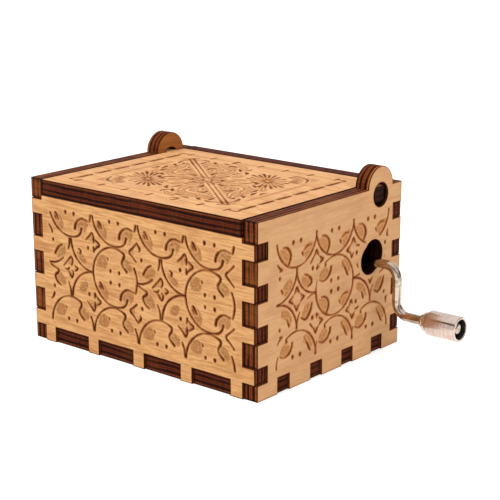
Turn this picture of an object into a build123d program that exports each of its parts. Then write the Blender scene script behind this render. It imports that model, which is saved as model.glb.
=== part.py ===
from build123d import *
from math import acos, cos, degrees, pi, radians, sin, sqrt, tan
import os

# Hand-cranked music box: a finger-jointed plywood case with a hinged lid, and a
# pinned-cylinder movement on its floor that a bent-wire crank drives through a worm.
# X runs along the long front, Y from front to back, Z up.
# The origin is the middle of the underside.

# Plywood case
case_width = 65.0
case_depth = 50.0
case_height = 37.0
ply = 3.5
tip_inset = 0.4  # finger and tab tips stop this far behind the face they come through

# Corner fingers of the front and back panels, counted up from the underside
finger_count = 4
finger_height = 3.5
finger_foot = 3.5
finger_head = 4.5

# Tabs of the bottom panel
front_tab_count = 4
front_tab_space = 3.3
end_tab_count = 4
end_tab_width = 3.8
end_tab_margin = 3.3

# Lid and its hinge
lid_gap = 0.4
hinge_from_back = 8.3
hinge_hole_radius = 2.65
hinge_clearance = 0.1
ear_radius = 4.5
swing_gap = 0.15

# Rough round hole that the crank leaves the case through: two circles set off its axis
hole_radius = 3.5
hole_shift_y = 0.8
hole_shift_z = 1.2
second_hole_radius = 3.3
second_hole_shift_y = -0.4
second_hole_shift_z = 0.4

# Crank
wire_diameter = 2.0
arm_reach = 6.9
crank_throw = 10.6
bend_radius = 2.9
knob_reach = 14.4
knob_length = 8.5
knob_diameter = 5.4
knob_neck_diameter = 4.3
knob_neck_length = 0.7
knob_shoulder = 0.5
knob_recess_diameter = 4.3
knob_recess_depth = 1.9
knob_round = 0.25
knob_end_play = 0.15
rivet_diameter = 2.5
rivet_inset = 0.4
collar_diameter = 2.9
collar_length = 0.8

# Fits
running_clearance = 0.05
seat_clearance = 0.02

# Cylinder with its pins, and the wheel on its end
cylinder_from_end = 24.5
cylinder_height = 7.5  # its axis over the bedplate
drum_radius = 6.0
drum_wall = 0.8
tine_count = 18
tine_pitch = 1.0
drum_margin = 0.7
pins_per_track = 4
pin_diameter = 0.4
pin_height = 0.35
pin_turn = 0.618034  # share of a turn from one pin to the next
cap_thickness = 1.2
arbor_diameter = 2.0
clip_diameter = 4.0
clip_thickness = 0.5

# Worm and wheel
wheel_teeth = 16
gear_module = 0.7
pressure_angle = 20.0
tooth_backlash = 0.3
addendum_share = 0.8  # of the module
clearance_share = 0.2  # of the module
wheel_width = 2.4
hub_diameter = 5.0
hub_length = 2.0
worm_pitch_radius = 2.5
worm_turns = 4
worm_end = 1.5

# Comb
pin_gap = 0.15
tine_width = 0.72
tine_thickness = 0.6
bass_length = 14.0
treble_length = 9.0
comb_thickness = 1.2
comb_seat = 6.0
comb_edge = 0.5
comb_screw_count = 3
weight_count = 8
weight_length = 2.6
weight_drop = 0.9
weight_step = 0.18
weight_setback = 0.6

# Bedplate and brackets
bed_thickness = 2.0
bed_margin = 0.6
bed_back_gap = 0.3
bracket_thickness = 1.2
bracket_gap = 0.8
cylinder_bracket_width = 8.0
worm_bracket_width = 6.0
worm_bracket_spacing = 16.8
foot_length = 4.4

# Shaft, sleeve and thrust collars
shaft_diameter = 2.0
thrust_diameter = 4.0
thrust_length = 1.0
thrust_gap = 0.15
sleeve_diameter = 4.6
sleeve_length = 7.5
sleeve_gap = 2.0
sleeve_screw_diameter = 1.6
sleeve_screw_inset = 1.7

# Screws
screw_diameter = 1.8
screw_head_diameter = 3.2
screw_head_height = 1.0
screw_slot_width = 0.5
screw_slot_depth = 0.45
screw_depth = 2.6
washer_diameter = 3.8
washer_thickness = 0.4
case_screw_diameter = 2.4
case_screw_head_diameter = 5.0
case_screw_recess = 0.1
case_screw_edge = 2.6
case_screw_tip = 0.3
countersink_half_angle = 45.0

# Places worked out from the sizes above
inner_x = case_width / 2 - ply
inner_y = case_depth / 2 - ply
tip_x = case_width / 2 - tip_inset
tip_y = case_depth / 2 - tip_inset
finger_pitch = (case_height - finger_foot - finger_head - finger_height) / (finger_count - 1)
front_tab_width = (2 * inner_x - (front_tab_count + 1) * front_tab_space) / front_tab_count
front_tab_pitch = front_tab_width + front_tab_space
end_tab_pitch = (2 * inner_y - 2 * end_tab_margin - end_tab_width) / (end_tab_count - 1)

hinge_y = case_depth / 2 - hinge_from_back
hinge_z = case_height - ply / 2
hinge_wall = inner_y - hinge_y
lid_back_y = hinge_y + sqrt((hinge_wall - swing_gap) ** 2 - (ply / 2) ** 2)
hinge_tab_width = 2 * sqrt((hinge_hole_radius - hinge_clearance) ** 2 - (ply / 2) ** 2)
lid_stop_angle = 2 * degrees(acos(ply / 2 / sqrt(hinge_wall ** 2 + (ply / 2) ** 2)))

wheel_pitch_radius = wheel_teeth * gear_module / 2
bed_top = ply + bed_thickness
cylinder_x = case_width / 2 - cylinder_from_end
cylinder_z = bed_top + cylinder_height
rear_foot_y = inner_y - bed_back_gap
rear_bracket_y = rear_foot_y - foot_length - bracket_thickness
crank_y = rear_bracket_y - bracket_gap - wheel_width / 2
crank_z = cylinder_z + wheel_pitch_radius + worm_pitch_radius
arm_x = case_width / 2 + arm_reach
knob_x = case_width / 2 + knob_reach
knob_end_x = knob_x + knob_length
knob_z = crank_z - crank_throw

worm_pitch = pi * gear_module
tooth_width = worm_pitch / 2 - tooth_backlash
tooth_addendum = addendum_share * gear_module
tooth_clearance = clearance_share * gear_module
wheel_front_y = crank_y - wheel_width / 2
wheel_back_y = crank_y + wheel_width / 2
drum_back_y = wheel_front_y - hub_length
drum_length = tine_count * tine_pitch + 2 * drum_margin
drum_front_y = drum_back_y - drum_length
drum_middle_y = (drum_front_y + drum_back_y) / 2

front_bracket_y = drum_front_y - bracket_gap
front_foot_y = front_bracket_y - bracket_thickness - foot_length
outer_bracket_x = cylinder_x + worm_bracket_spacing / 2
inner_bracket_x = cylinder_x - worm_bracket_spacing / 2
outer_foot_x = outer_bracket_x + bracket_thickness + foot_length
inner_foot_x = inner_bracket_x - bracket_thickness - foot_length
foot_top = bed_top + bracket_thickness

tine_tip_x = cylinder_x - drum_radius - pin_height - pin_gap
comb_top = cylinder_z + tine_thickness / 2
comb_bottom = comb_top - comb_thickness
comb_back_x = tine_tip_x - bass_length - comb_seat
comb_front_y = drum_middle_y - tine_count * tine_pitch / 2 - comb_edge
comb_back_y = drum_middle_y + tine_count * tine_pitch / 2 + comb_edge
comb_screw_x = comb_back_x + comb_seat / 2
comb_screw_pitch = (comb_back_y - comb_front_y) / comb_screw_count

bed_left_x = comb_back_x - bed_margin
bed_right_x = outer_foot_x + bed_margin
bed_front_y = front_foot_y
bed_back_y = rear_foot_y

shaft_start_x = inner_bracket_x - bracket_thickness - thrust_gap - thrust_length
sleeve_start_x = outer_bracket_x + bracket_thickness + sleeve_gap
sleeve_end_x = sleeve_start_x + sleeve_length
sleeve_middle_x = (sleeve_start_x + sleeve_end_x) / 2
shaft_end_x = sleeve_middle_x - running_clearance


def along_y(y):
    """Plane across the cylinder's axis at y; its sketch is in X and Z."""
    return Plane.XZ.offset(-y)


def finger_levels():
    """Lowest height of each corner finger of the front and back panels."""
    return [finger_foot + number * finger_pitch for number in range(finger_count)]


def long_panel(height):
    """Outline of the front or back panel in X and Z, to be used inside a sketch."""
    with Locations((0, height / 2)):
        Rectangle(2 * inner_x, height)
    for level in finger_levels():
        with Locations((0, level + finger_height / 2)):
            Rectangle(2 * tip_x, finger_height)
    with GridLocations(front_tab_pitch, 0, front_tab_count, 1):
        Rectangle(front_tab_width, 2 * ply, mode=Mode.SUBTRACT)


def end_panel():
    """Outline of an end panel with its hinge ear in Y and Z, to be used inside a sketch."""
    with Locations((0, case_height / 2)):
        Rectangle(2 * tip_y, case_height)
    for level in finger_levels():
        with Locations((0, level + finger_height / 2)):
            Rectangle(case_depth, finger_height, mode=Mode.SUBTRACT)
    with Locations((0, case_height / 2)):
        Rectangle(2 * inner_y, case_height)
    with Locations((hinge_y, case_height)):
        Circle(ear_radius)
    with Locations((hinge_y, hinge_z)):
        Circle(hinge_hole_radius, mode=Mode.SUBTRACT)
    with GridLocations(end_tab_pitch, 0, end_tab_count, 1):
        Rectangle(end_tab_width, 2 * ply, mode=Mode.SUBTRACT)


def upright(height, width):
    """Outline of a bracket's upright with a round top, its bearing at the sketch's origin."""
    Circle(width / 2)
    with Locations((0, -height / 2)):
        Rectangle(width, height)


# Case panels

with BuildPart() as front_panel:
    with BuildSketch(Plane.XZ.offset(case_depth / 2)):
        long_panel(case_height - ply)
    extrude(amount=-ply)
front_panel.part.label = "front_panel"

with BuildPart() as back_panel:
    with BuildSketch(Plane.XZ.offset(-inner_y)):
        long_panel(case_height)
    extrude(amount=-ply)
back_panel.part.label = "back_panel"

with BuildPart() as left_end_panel:
    with BuildSketch(Plane.YZ.offset(-case_width / 2)):
        end_panel()
    extrude(amount=ply)
left_end_panel.part.label = "left_end_panel"

with BuildPart() as right_end_panel:
    with BuildSketch(Plane.YZ.offset(inner_x)):
        end_panel()
        with Locations((crank_y + hole_shift_y, crank_z + hole_shift_z)):
            Circle(hole_radius, mode=Mode.SUBTRACT)
        with Locations((crank_y + second_hole_shift_y, crank_z + second_hole_shift_z)):
            Circle(second_hole_radius, mode=Mode.SUBTRACT)
    extrude(amount=ply)
right_end_panel.part.label = "right_end_panel"

case_screw_places = [
    (bed_left_x + case_screw_edge, bed_front_y + case_screw_edge),
    (bed_left_x + case_screw_edge, bed_back_y - case_screw_edge),
    (bed_right_x - case_screw_edge, bed_front_y + case_screw_edge),
    (bed_right_x - case_screw_edge, bed_back_y - case_screw_edge),
]
countersink_slope = tan(radians(countersink_half_angle))
case_screw_head_height = (case_screw_head_diameter - case_screw_diameter) / 2 / countersink_slope
countersink_depth = case_screw_head_height + case_screw_recess
countersink_radius = case_screw_diameter / 2 + countersink_depth * countersink_slope

with BuildPart() as bottom_panel:
    with BuildSketch(Plane.XY):
        Rectangle(2 * inner_x, 2 * inner_y)
        with GridLocations(front_tab_pitch, 0, front_tab_count, 1):
            Rectangle(front_tab_width, 2 * tip_y)
        with GridLocations(0, end_tab_pitch, 1, end_tab_count):
            Rectangle(2 * tip_x, end_tab_width)
        with Locations(*case_screw_places):
            Circle(case_screw_diameter / 2 + running_clearance, mode=Mode.SUBTRACT)
    extrude(amount=ply)
    with BuildSketch(Plane.XY):
        with Locations(*case_screw_places):
            Circle(countersink_radius + running_clearance)
    extrude(amount=countersink_depth, taper=countersink_half_angle, mode=Mode.SUBTRACT)
bottom_panel.part.label = "bottom_panel"

with BuildPart() as lid_panel:
    with BuildSketch(Plane.XY.offset(case_height - ply)):
        with Locations((0, (lid_back_y - case_depth / 2) / 2)):
            Rectangle(2 * (inner_x - lid_gap), lid_back_y + case_depth / 2)
        with Locations((0, hinge_y)):
            Rectangle(2 * tip_x, hinge_tab_width)
    extrude(amount=ply)
lid_panel.part.label = "lid_panel"

# Bedplate and brackets of the movement

cylinder_foot_places = [
    (cylinder_x, front_foot_y + foot_length / 2),
    (cylinder_x, rear_foot_y - foot_length / 2),
]
worm_foot_places = [
    (inner_foot_x + foot_length / 2, crank_y),
    (outer_foot_x - foot_length / 2, crank_y),
]
bracket_screw_places = cylinder_foot_places + worm_foot_places

with BuildPart() as bedplate:
    with BuildSketch(Plane.XY.offset(ply)):
        bed_centre = ((bed_left_x + bed_right_x) / 2, (bed_front_y + bed_back_y) / 2)
        with Locations(bed_centre):
            RectangleRounded(bed_right_x - bed_left_x, bed_back_y - bed_front_y, case_screw_edge)
        with Locations(*bracket_screw_places):
            Circle(screw_diameter / 2 + seat_clearance, mode=Mode.SUBTRACT)
        with Locations(*case_screw_places):
            Circle(case_screw_diameter / 2 + seat_clearance, mode=Mode.SUBTRACT)
    extrude(amount=bed_thickness)
bedplate.part.label = "bedplate"

with BuildPart() as mounting_screws:
    with BuildSketch(Plane.XY.offset(case_screw_recess)):
        with Locations(*case_screw_places):
            Circle(case_screw_head_diameter / 2)
    extrude(amount=case_screw_head_height, taper=countersink_half_angle)
    with BuildSketch(Plane.XY.offset(case_screw_recess)):
        with Locations(*case_screw_places):
            Circle(case_screw_diameter / 2)
    extrude(amount=bed_top - case_screw_tip - case_screw_recess)
    with BuildSketch(Plane.XY.offset(case_screw_recess)):
        with Locations(*case_screw_places):
            Rectangle(case_screw_head_diameter, screw_slot_width)
    extrude(amount=screw_slot_depth, mode=Mode.SUBTRACT)
mounting_screws.part.label = "mounting_screws"

cylinder_brackets = {}
for name, plate_y, foot_side in (
    ("front_cylinder_bracket", front_bracket_y - bracket_thickness, -1),
    ("rear_cylinder_bracket", rear_bracket_y, 1),
):
    foot_y = front_foot_y if foot_side < 0 else rear_foot_y
    inner_foot_y = front_bracket_y if foot_side < 0 else rear_bracket_y
    with BuildPart() as bracket:
        with BuildSketch(Plane((cylinder_x, plate_y, cylinder_z), (1, 0, 0), (0, -1, 0))):
            upright(cylinder_z - bed_top, cylinder_bracket_width)
            Circle(arbor_diameter / 2 + running_clearance, mode=Mode.SUBTRACT)
        extrude(amount=-bracket_thickness)
        with BuildSketch(Plane.XY.offset(bed_top)):
            with Locations((cylinder_x, (foot_y + inner_foot_y) / 2)):
                Rectangle(cylinder_bracket_width, abs(foot_y - inner_foot_y))
            with Locations(*cylinder_foot_places):
                Circle(screw_diameter / 2 + running_clearance, mode=Mode.SUBTRACT)
        extrude(amount=bracket_thickness)
    bracket.part.label = name
    cylinder_brackets[name] = bracket

worm_brackets = {}
for name, plate_x, foot_x, near_x in (
    ("inner_worm_bracket", inner_bracket_x - bracket_thickness, inner_foot_x, inner_bracket_x),
    ("outer_worm_bracket", outer_bracket_x, outer_foot_x, outer_bracket_x),
):
    with BuildPart() as bracket:
        with BuildSketch(Plane((plate_x, crank_y, crank_z), (0, 1, 0), (1, 0, 0))):
            upright(crank_z - bed_top, worm_bracket_width)
            Circle(shaft_diameter / 2 + running_clearance, mode=Mode.SUBTRACT)
        extrude(amount=bracket_thickness)
        with BuildSketch(Plane.XY.offset(bed_top)):
            with Locations(((foot_x + near_x) / 2, crank_y)):
                Rectangle(abs(foot_x - near_x), worm_bracket_width)
            with Locations(*worm_foot_places):
                Circle(screw_diameter / 2 + running_clearance, mode=Mode.SUBTRACT)
        extrude(amount=bracket_thickness)
    bracket.part.label = name
    worm_brackets[name] = bracket

with BuildPart() as bracket_screws:
    with BuildSketch(Plane.XY.offset(foot_top)):
        with Locations(*bracket_screw_places):
            Circle(screw_head_diameter / 2)
    extrude(amount=screw_head_height)
    with BuildSketch(Plane.XY.offset(foot_top)):
        with Locations(*bracket_screw_places):
            Circle(screw_diameter / 2)
    extrude(amount=-screw_depth)
    with BuildSketch(Plane.XY.offset(foot_top + screw_head_height)):
        with Locations(*bracket_screw_places):
            Rectangle(screw_head_diameter, screw_slot_width)
    extrude(amount=-screw_slot_depth, mode=Mode.SUBTRACT)
bracket_screws.part.label = "bracket_screws"

# Comb on its riser

comb_screw_places = [
    (comb_screw_x, comb_front_y + (number + 0.5) * comb_screw_pitch)
    for number in range(comb_screw_count)
]
comb_screw_reach = comb_thickness + washer_thickness + screw_depth

with BuildPart() as comb_riser:
    with BuildSketch(Plane.XY.offset(bed_top)):
        with Locations((comb_screw_x, (comb_front_y + comb_back_y) / 2)):
            Rectangle(comb_seat, comb_back_y - comb_front_y)
    extrude(amount=comb_bottom - bed_top)
    with BuildSketch(Plane.XY.offset(comb_bottom)):
        with Locations(*comb_screw_places):
            Circle(screw_diameter / 2 + seat_clearance)
    extrude(amount=-screw_depth - running_clearance, mode=Mode.SUBTRACT)
comb_riser.part.label = "comb_riser"


def tine_y(number):
    """Middle of a tine across the comb, from the bass end."""
    return drum_middle_y + (number - (tine_count - 1) / 2) * tine_pitch


def tine_length(number):
    """Length of a tine, falling evenly from the bass to the treble."""
    return bass_length + (treble_length - bass_length) * number / (tine_count - 1)


with BuildPart() as comb:
    with BuildSketch(Plane.XY.offset(comb_bottom)):
        with BuildLine():
            Polyline(
                (comb_back_x, comb_front_y),
                (tine_tip_x - bass_length, comb_front_y),
                (tine_tip_x - treble_length, comb_back_y),
                (comb_back_x, comb_back_y),
                close=True,
            )
        make_face()
        with Locations(*comb_screw_places):
            Circle(screw_diameter / 2 + running_clearance, mode=Mode.SUBTRACT)
    extrude(amount=comb_thickness)
    with BuildSketch(Plane.XY.offset(comb_top)):
        for number in range(tine_count):
            root_length = tine_length(number) + comb_edge
            with Locations((tine_tip_x - root_length / 2, tine_y(number))):
                Rectangle(root_length, tine_width)
    extrude(amount=-tine_thickness)
comb.part.label = "comb"

with BuildPart() as tuning_weights:
    for number in range(weight_count):
        with BuildSketch(Plane.XY.offset(comb_top - tine_thickness)):
            weight_x = tine_tip_x - weight_setback - weight_length / 2
            with Locations((weight_x, tine_y(number))):
                Rectangle(weight_length, tine_width)
        extrude(amount=-(weight_drop + weight_step * (weight_count - 1 - number)))
tuning_weights.part.label = "tuning_weights"

with BuildPart() as comb_washers:
    with BuildSketch(Plane.XY.offset(comb_top)):
        with Locations(*comb_screw_places):
            Circle(washer_diameter / 2)
            Circle(screw_diameter / 2 + running_clearance, mode=Mode.SUBTRACT)
    extrude(amount=washer_thickness)
comb_washers.part.label = "comb_washers"

with BuildPart() as comb_screws:
    with BuildSketch(Plane.XY.offset(comb_top + washer_thickness)):
        with Locations(*comb_screw_places):
            Circle(screw_head_diameter / 2)
    extrude(amount=screw_head_height)
    with BuildSketch(Plane.XY.offset(comb_top + washer_thickness)):
        with Locations(*comb_screw_places):
            Circle(screw_diameter / 2)
    extrude(amount=-comb_screw_reach)
    with BuildSketch(Plane.XY.offset(comb_top + washer_thickness + screw_head_height)):
        with Locations(*comb_screw_places):
            Rectangle(screw_head_diameter, screw_slot_width)
    extrude(amount=-screw_slot_depth, mode=Mode.SUBTRACT)
comb_screws.part.label = "comb_screws"

# Pinned cylinder with its caps, arbor, clips and wheel

drum_bore = drum_radius - drum_wall
pin_planes = [
    Plane(
        origin=(cylinder_x, tine_y(number // pins_per_track), cylinder_z),
        z_dir=(cos(2 * pi * pin_turn * number), 0, sin(2 * pi * pin_turn * number)),
    ).offset(drum_bore)
    for number in range(tine_count * pins_per_track)
]

with BuildPart() as cylinder_drum:
    with BuildSketch(along_y(drum_back_y)):
        with Locations((cylinder_x, cylinder_z)):
            Circle(drum_radius)
            Circle(drum_bore, mode=Mode.SUBTRACT)
    extrude(amount=drum_length)
    with BuildSketch(*pin_planes):
        Circle(pin_diameter / 2 + seat_clearance)
    extrude(amount=drum_wall, both=True, mode=Mode.SUBTRACT)
cylinder_drum.part.label = "cylinder_drum"

with BuildPart() as cylinder_pins:
    with BuildSketch(*pin_planes):
        Circle(pin_diameter / 2)
    extrude(amount=drum_wall + pin_height)
cylinder_pins.part.label = "cylinder_pins"

end_caps = {}
for name, cap_y in (
    ("front_end_cap", drum_front_y + cap_thickness),
    ("rear_end_cap", drum_back_y),
):
    with BuildPart() as cap:
        with BuildSketch(along_y(cap_y)):
            with Locations((cylinder_x, cylinder_z)):
                Circle(drum_bore - seat_clearance)
                Circle(arbor_diameter / 2 + seat_clearance, mode=Mode.SUBTRACT)
        extrude(amount=cap_thickness)
    cap.part.label = name
    end_caps[name] = cap

arbor_front_y = front_bracket_y - bracket_thickness - 2 * clip_thickness
arbor_back_y = rear_bracket_y + bracket_thickness + 2 * clip_thickness

with BuildPart() as cylinder_arbor:
    with BuildSketch(along_y(arbor_back_y)):
        with Locations((cylinder_x, cylinder_z)):
            Circle(arbor_diameter / 2)
    extrude(amount=arbor_back_y - arbor_front_y)
cylinder_arbor.part.label = "cylinder_arbor"

with BuildPart() as arbor_clips:
    clip_back_y = rear_bracket_y + bracket_thickness + thrust_gap + clip_thickness
    clip_front_y = front_bracket_y - bracket_thickness - thrust_gap
    for clip_y in (clip_back_y, clip_front_y):
        with BuildSketch(along_y(clip_y)):
            with Locations((cylinder_x, cylinder_z)):
                Circle(clip_diameter / 2)
                Circle(arbor_diameter / 2 + seat_clearance, mode=Mode.SUBTRACT)
        extrude(amount=clip_thickness)
arbor_clips.part.label = "arbor_clips"

tooth_dedendum = tooth_addendum + tooth_clearance
flank_slope = tan(radians(pressure_angle))
crest_half = tooth_width / 2 - tooth_addendum * flank_slope
root_half = tooth_width / 2 + tooth_dedendum * flank_slope
wheel_root_radius = wheel_pitch_radius - tooth_dedendum
wheel_outer_radius = wheel_pitch_radius + tooth_addendum
tooth_sink = wheel_root_radius - sqrt(wheel_root_radius ** 2 - root_half ** 2)

with BuildPart() as worm_wheel:
    with BuildSketch(Plane((cylinder_x, wheel_back_y, cylinder_z), (1, 0, 0), (0, -1, 0))):
        Circle(wheel_root_radius)
        with PolarLocations(0, wheel_teeth, start_angle=90):
            Polygon(
                (wheel_root_radius - tooth_sink, -root_half),
                (wheel_outer_radius, -crest_half),
                (wheel_outer_radius, crest_half),
                (wheel_root_radius - tooth_sink, root_half),
                align=None,
            )
        Circle(arbor_diameter / 2 + seat_clearance, mode=Mode.SUBTRACT)
    extrude(amount=wheel_width)
    with BuildSketch(along_y(wheel_front_y)):
        with Locations((cylinder_x, cylinder_z)):
            Circle(hub_diameter / 2)
            Circle(arbor_diameter / 2 + seat_clearance, mode=Mode.SUBTRACT)
    extrude(amount=hub_length)
worm_wheel.part.label = "worm_wheel"

# Worm, its shaft and the sleeve that holds the crank

worm_root_radius = worm_pitch_radius - tooth_dedendum
worm_outer_radius = worm_pitch_radius + tooth_addendum
# A helix about X starts above its axis, so after whole pitches from the wheel's middle
# the thread leaves a space below the axis, where the wheel's top tooth stands at rest.
thread_start_x = cylinder_x - worm_turns // 2 * worm_pitch
thread_length = worm_turns * worm_pitch
thread_base_radius = worm_root_radius - tooth_clearance

with BuildPart() as worm:
    with BuildLine():
        Helix(
            pitch=worm_pitch,
            height=thread_length,
            radius=worm_root_radius,
            center=(thread_start_x, crank_y, crank_z),
            direction=(1, 0, 0),
        )
    with BuildSketch(along_y(crank_y)):
        with BuildLine():
            Polyline(
                (thread_start_x - root_half, crank_z + thread_base_radius),
                (thread_start_x - crest_half, crank_z + worm_outer_radius),
                (thread_start_x + crest_half, crank_z + worm_outer_radius),
                (thread_start_x + root_half, crank_z + thread_base_radius),
                close=True,
            )
        make_face()
    sweep(is_frenet=True)
    with BuildSketch(Plane.YZ.offset(thread_start_x - worm_end)):
        with Locations((crank_y, crank_z)):
            Circle(worm_root_radius)
    extrude(amount=thread_length + 2 * worm_end)
    with BuildSketch(Plane.YZ.offset(thread_start_x - worm_end)):
        with Locations((crank_y, crank_z)):
            Circle(shaft_diameter / 2 + seat_clearance)
    extrude(amount=thread_length + 2 * worm_end, mode=Mode.SUBTRACT)
worm.part.label = "worm"

with BuildPart() as worm_shaft:
    with BuildSketch(Plane.YZ.offset(shaft_start_x)):
        with Locations((crank_y, crank_z)):
            Circle(shaft_diameter / 2)
    extrude(amount=shaft_end_x - shaft_start_x)
worm_shaft.part.label = "worm_shaft"

thrust_places = [
    shaft_start_x,
    outer_bracket_x + bracket_thickness + thrust_gap,
]
with BuildPart() as thrust_collars:
    for collar_x in thrust_places:
        with BuildSketch(Plane.YZ.offset(collar_x)):
            with Locations((crank_y, crank_z)):
                Circle(thrust_diameter / 2)
                Circle(shaft_diameter / 2 + seat_clearance, mode=Mode.SUBTRACT)
        extrude(amount=thrust_length)
thrust_collars.part.label = "thrust_collars"

sleeve_screw_planes = [
    Plane((x, crank_y, crank_z + shaft_diameter / 2 + seat_clearance))
    for x in (sleeve_start_x + sleeve_screw_inset, sleeve_end_x - sleeve_screw_inset)
]
sleeve_wall = (sleeve_diameter - shaft_diameter) / 2

with BuildPart() as crank_sleeve:
    with BuildSketch(Plane.YZ.offset(sleeve_start_x)):
        with Locations((crank_y, crank_z)):
            Circle(sleeve_diameter / 2)
            Circle(shaft_diameter / 2 + seat_clearance, mode=Mode.SUBTRACT)
    extrude(amount=sleeve_length)
    with BuildSketch(*sleeve_screw_planes):
        Circle(sleeve_screw_diameter / 2 + seat_clearance)
    extrude(amount=sleeve_wall, mode=Mode.SUBTRACT)
crank_sleeve.part.label = "crank_sleeve"

with BuildPart() as sleeve_screws:
    with BuildSketch(*sleeve_screw_planes):
        Circle(sleeve_screw_diameter / 2)
    extrude(amount=sleeve_wall)
sleeve_screws.part.label = "sleeve_screws"

# Crank and knob

recess_floor_x = knob_end_x - knob_recess_depth
rivet_start_x = recess_floor_x + knob_end_play
rivet_end_x = knob_end_x - rivet_inset

with BuildPart() as crank_wire:
    with BuildLine():
        FilletPolyline(
            (sleeve_middle_x + running_clearance, crank_y, crank_z),
            (arm_x, crank_y, crank_z),
            (arm_x, crank_y, knob_z),
            ((rivet_start_x + rivet_end_x) / 2, crank_y, knob_z),
            radius=bend_radius,
        )
    with BuildSketch(Plane.YZ.offset(sleeve_middle_x + running_clearance)):
        with Locations((crank_y, crank_z)):
            Circle(wire_diameter / 2)
    sweep()
    with BuildSketch(Plane.YZ.offset(rivet_start_x)):
        with Locations((crank_y, knob_z)):
            Circle(rivet_diameter / 2)
    extrude(amount=rivet_end_x - rivet_start_x)
    rivet_rim = crank_wire.edges().filter_by(GeomType.CIRCLE).sort_by(Axis.X)[-1]
    fillet(rivet_rim, knob_round)
crank_wire.part.label = "crank_wire"

with BuildPart() as knob_collar:
    with BuildSketch(Plane.YZ.offset(knob_x - knob_end_play - collar_length)):
        with Locations((crank_y, knob_z)):
            Circle(collar_diameter / 2)
            Circle(wire_diameter / 2 + seat_clearance, mode=Mode.SUBTRACT)
    extrude(amount=collar_length)
knob_collar.part.label = "knob_collar"

with BuildPart() as crank_knob:
    with BuildSketch(along_y(crank_y)):
        with BuildLine():
            Polyline(
                (knob_x, knob_z + wire_diameter / 2 + running_clearance),
                (knob_x, knob_z + knob_neck_diameter / 2),
                (knob_x + knob_neck_length, knob_z + knob_neck_diameter / 2),
                (knob_x + knob_neck_length + knob_shoulder, knob_z + knob_diameter / 2),
                (knob_end_x, knob_z + knob_diameter / 2),
                (knob_end_x, knob_z + knob_recess_diameter / 2),
                (recess_floor_x, knob_z + knob_recess_diameter / 2),
                (recess_floor_x, knob_z + wire_diameter / 2 + running_clearance),
                close=True,
            )
        make_face()
    revolve(axis=Axis((0, crank_y, knob_z), (1, 0, 0)))
    outer_rim = crank_knob.edges().filter_by(GeomType.CIRCLE).group_by(Axis.X)[-1]
    fillet(outer_rim.sort_by(SortBy.RADIUS)[-1], knob_round)
    neck_rim = crank_knob.edges().filter_by(GeomType.CIRCLE).group_by(Axis.X)[0]
    fillet(neck_rim.sort_by(SortBy.RADIUS)[-1], knob_round)
crank_knob.part.label = "crank_knob"

# Files

pieces = {
    "front_panel": front_panel,
    "back_panel": back_panel,
    "left_end_panel": left_end_panel,
    "right_end_panel": right_end_panel,
    "bottom_panel": bottom_panel,
    "lid_panel": lid_panel,
    "bedplate": bedplate,
    "mounting_screws": mounting_screws,
    **cylinder_brackets,
    **worm_brackets,
    "bracket_screws": bracket_screws,
    "comb_riser": comb_riser,
    "comb": comb,
    "tuning_weights": tuning_weights,
    "comb_washers": comb_washers,
    "comb_screws": comb_screws,
    "cylinder_drum": cylinder_drum,
    "cylinder_pins": cylinder_pins,
    **end_caps,
    "cylinder_arbor": cylinder_arbor,
    "arbor_clips": arbor_clips,
    "worm_wheel": worm_wheel,
    "worm": worm,
    "worm_shaft": worm_shaft,
    "thrust_collars": thrust_collars,
    "crank_sleeve": crank_sleeve,
    "sleeve_screws": sleeve_screws,
    "crank_wire": crank_wire,
    "knob_collar": knob_collar,
    "crank_knob": crank_knob,
}

os.makedirs("parts", exist_ok=True)
for name, piece in pieces.items():
    export_step(piece.part, f"parts/{name}.step")

print("crank axis", [0, crank_y, crank_z])
print("knob axis", [knob_x, crank_y, knob_z])
print("cylinder axis", [cylinder_x, 0, cylinder_z])
print("hinge axis", [0, hinge_y, hinge_z], "stop", lid_stop_angle)
print("lid back edge", lid_back_y, "hinge tab width", hinge_tab_width)
print("comb", comb_back_x, tine_tip_x, comb_front_y, comb_back_y, comb_bottom, comb_top)
print("bed", bed_left_x, bed_right_x, bed_front_y, bed_back_y)
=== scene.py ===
import math

import bmesh
import bpy
import numpy as np
from mathutils import Matrix, Vector


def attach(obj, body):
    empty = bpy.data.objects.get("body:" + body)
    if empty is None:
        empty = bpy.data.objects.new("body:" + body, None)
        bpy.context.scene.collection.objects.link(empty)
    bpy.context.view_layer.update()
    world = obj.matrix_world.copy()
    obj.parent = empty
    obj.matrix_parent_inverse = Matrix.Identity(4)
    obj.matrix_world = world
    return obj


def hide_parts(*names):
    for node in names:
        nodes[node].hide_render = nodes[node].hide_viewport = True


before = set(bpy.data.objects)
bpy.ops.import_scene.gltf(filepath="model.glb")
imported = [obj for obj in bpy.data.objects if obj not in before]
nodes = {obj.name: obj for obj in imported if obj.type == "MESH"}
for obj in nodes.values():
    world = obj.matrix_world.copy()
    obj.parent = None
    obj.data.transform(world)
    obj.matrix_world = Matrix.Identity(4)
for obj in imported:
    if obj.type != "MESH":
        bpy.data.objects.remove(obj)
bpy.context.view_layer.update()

mm = 0.001
sheetThickness = 3.5                           # mm of plywood
print("stage: frame loaded,", len(nodes), "nodes")


# Camera, on the photograph's own viewpoint: mm and degrees
cameraSetup = {"azimuth": 39.97, "elevation": 15.21, "distance": 305.0, "aim": (9.95, 0.0, 22.5),
               "lens": 100.94, "sensor": 36.0, "clip": (0.005, 20.0)}


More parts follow.
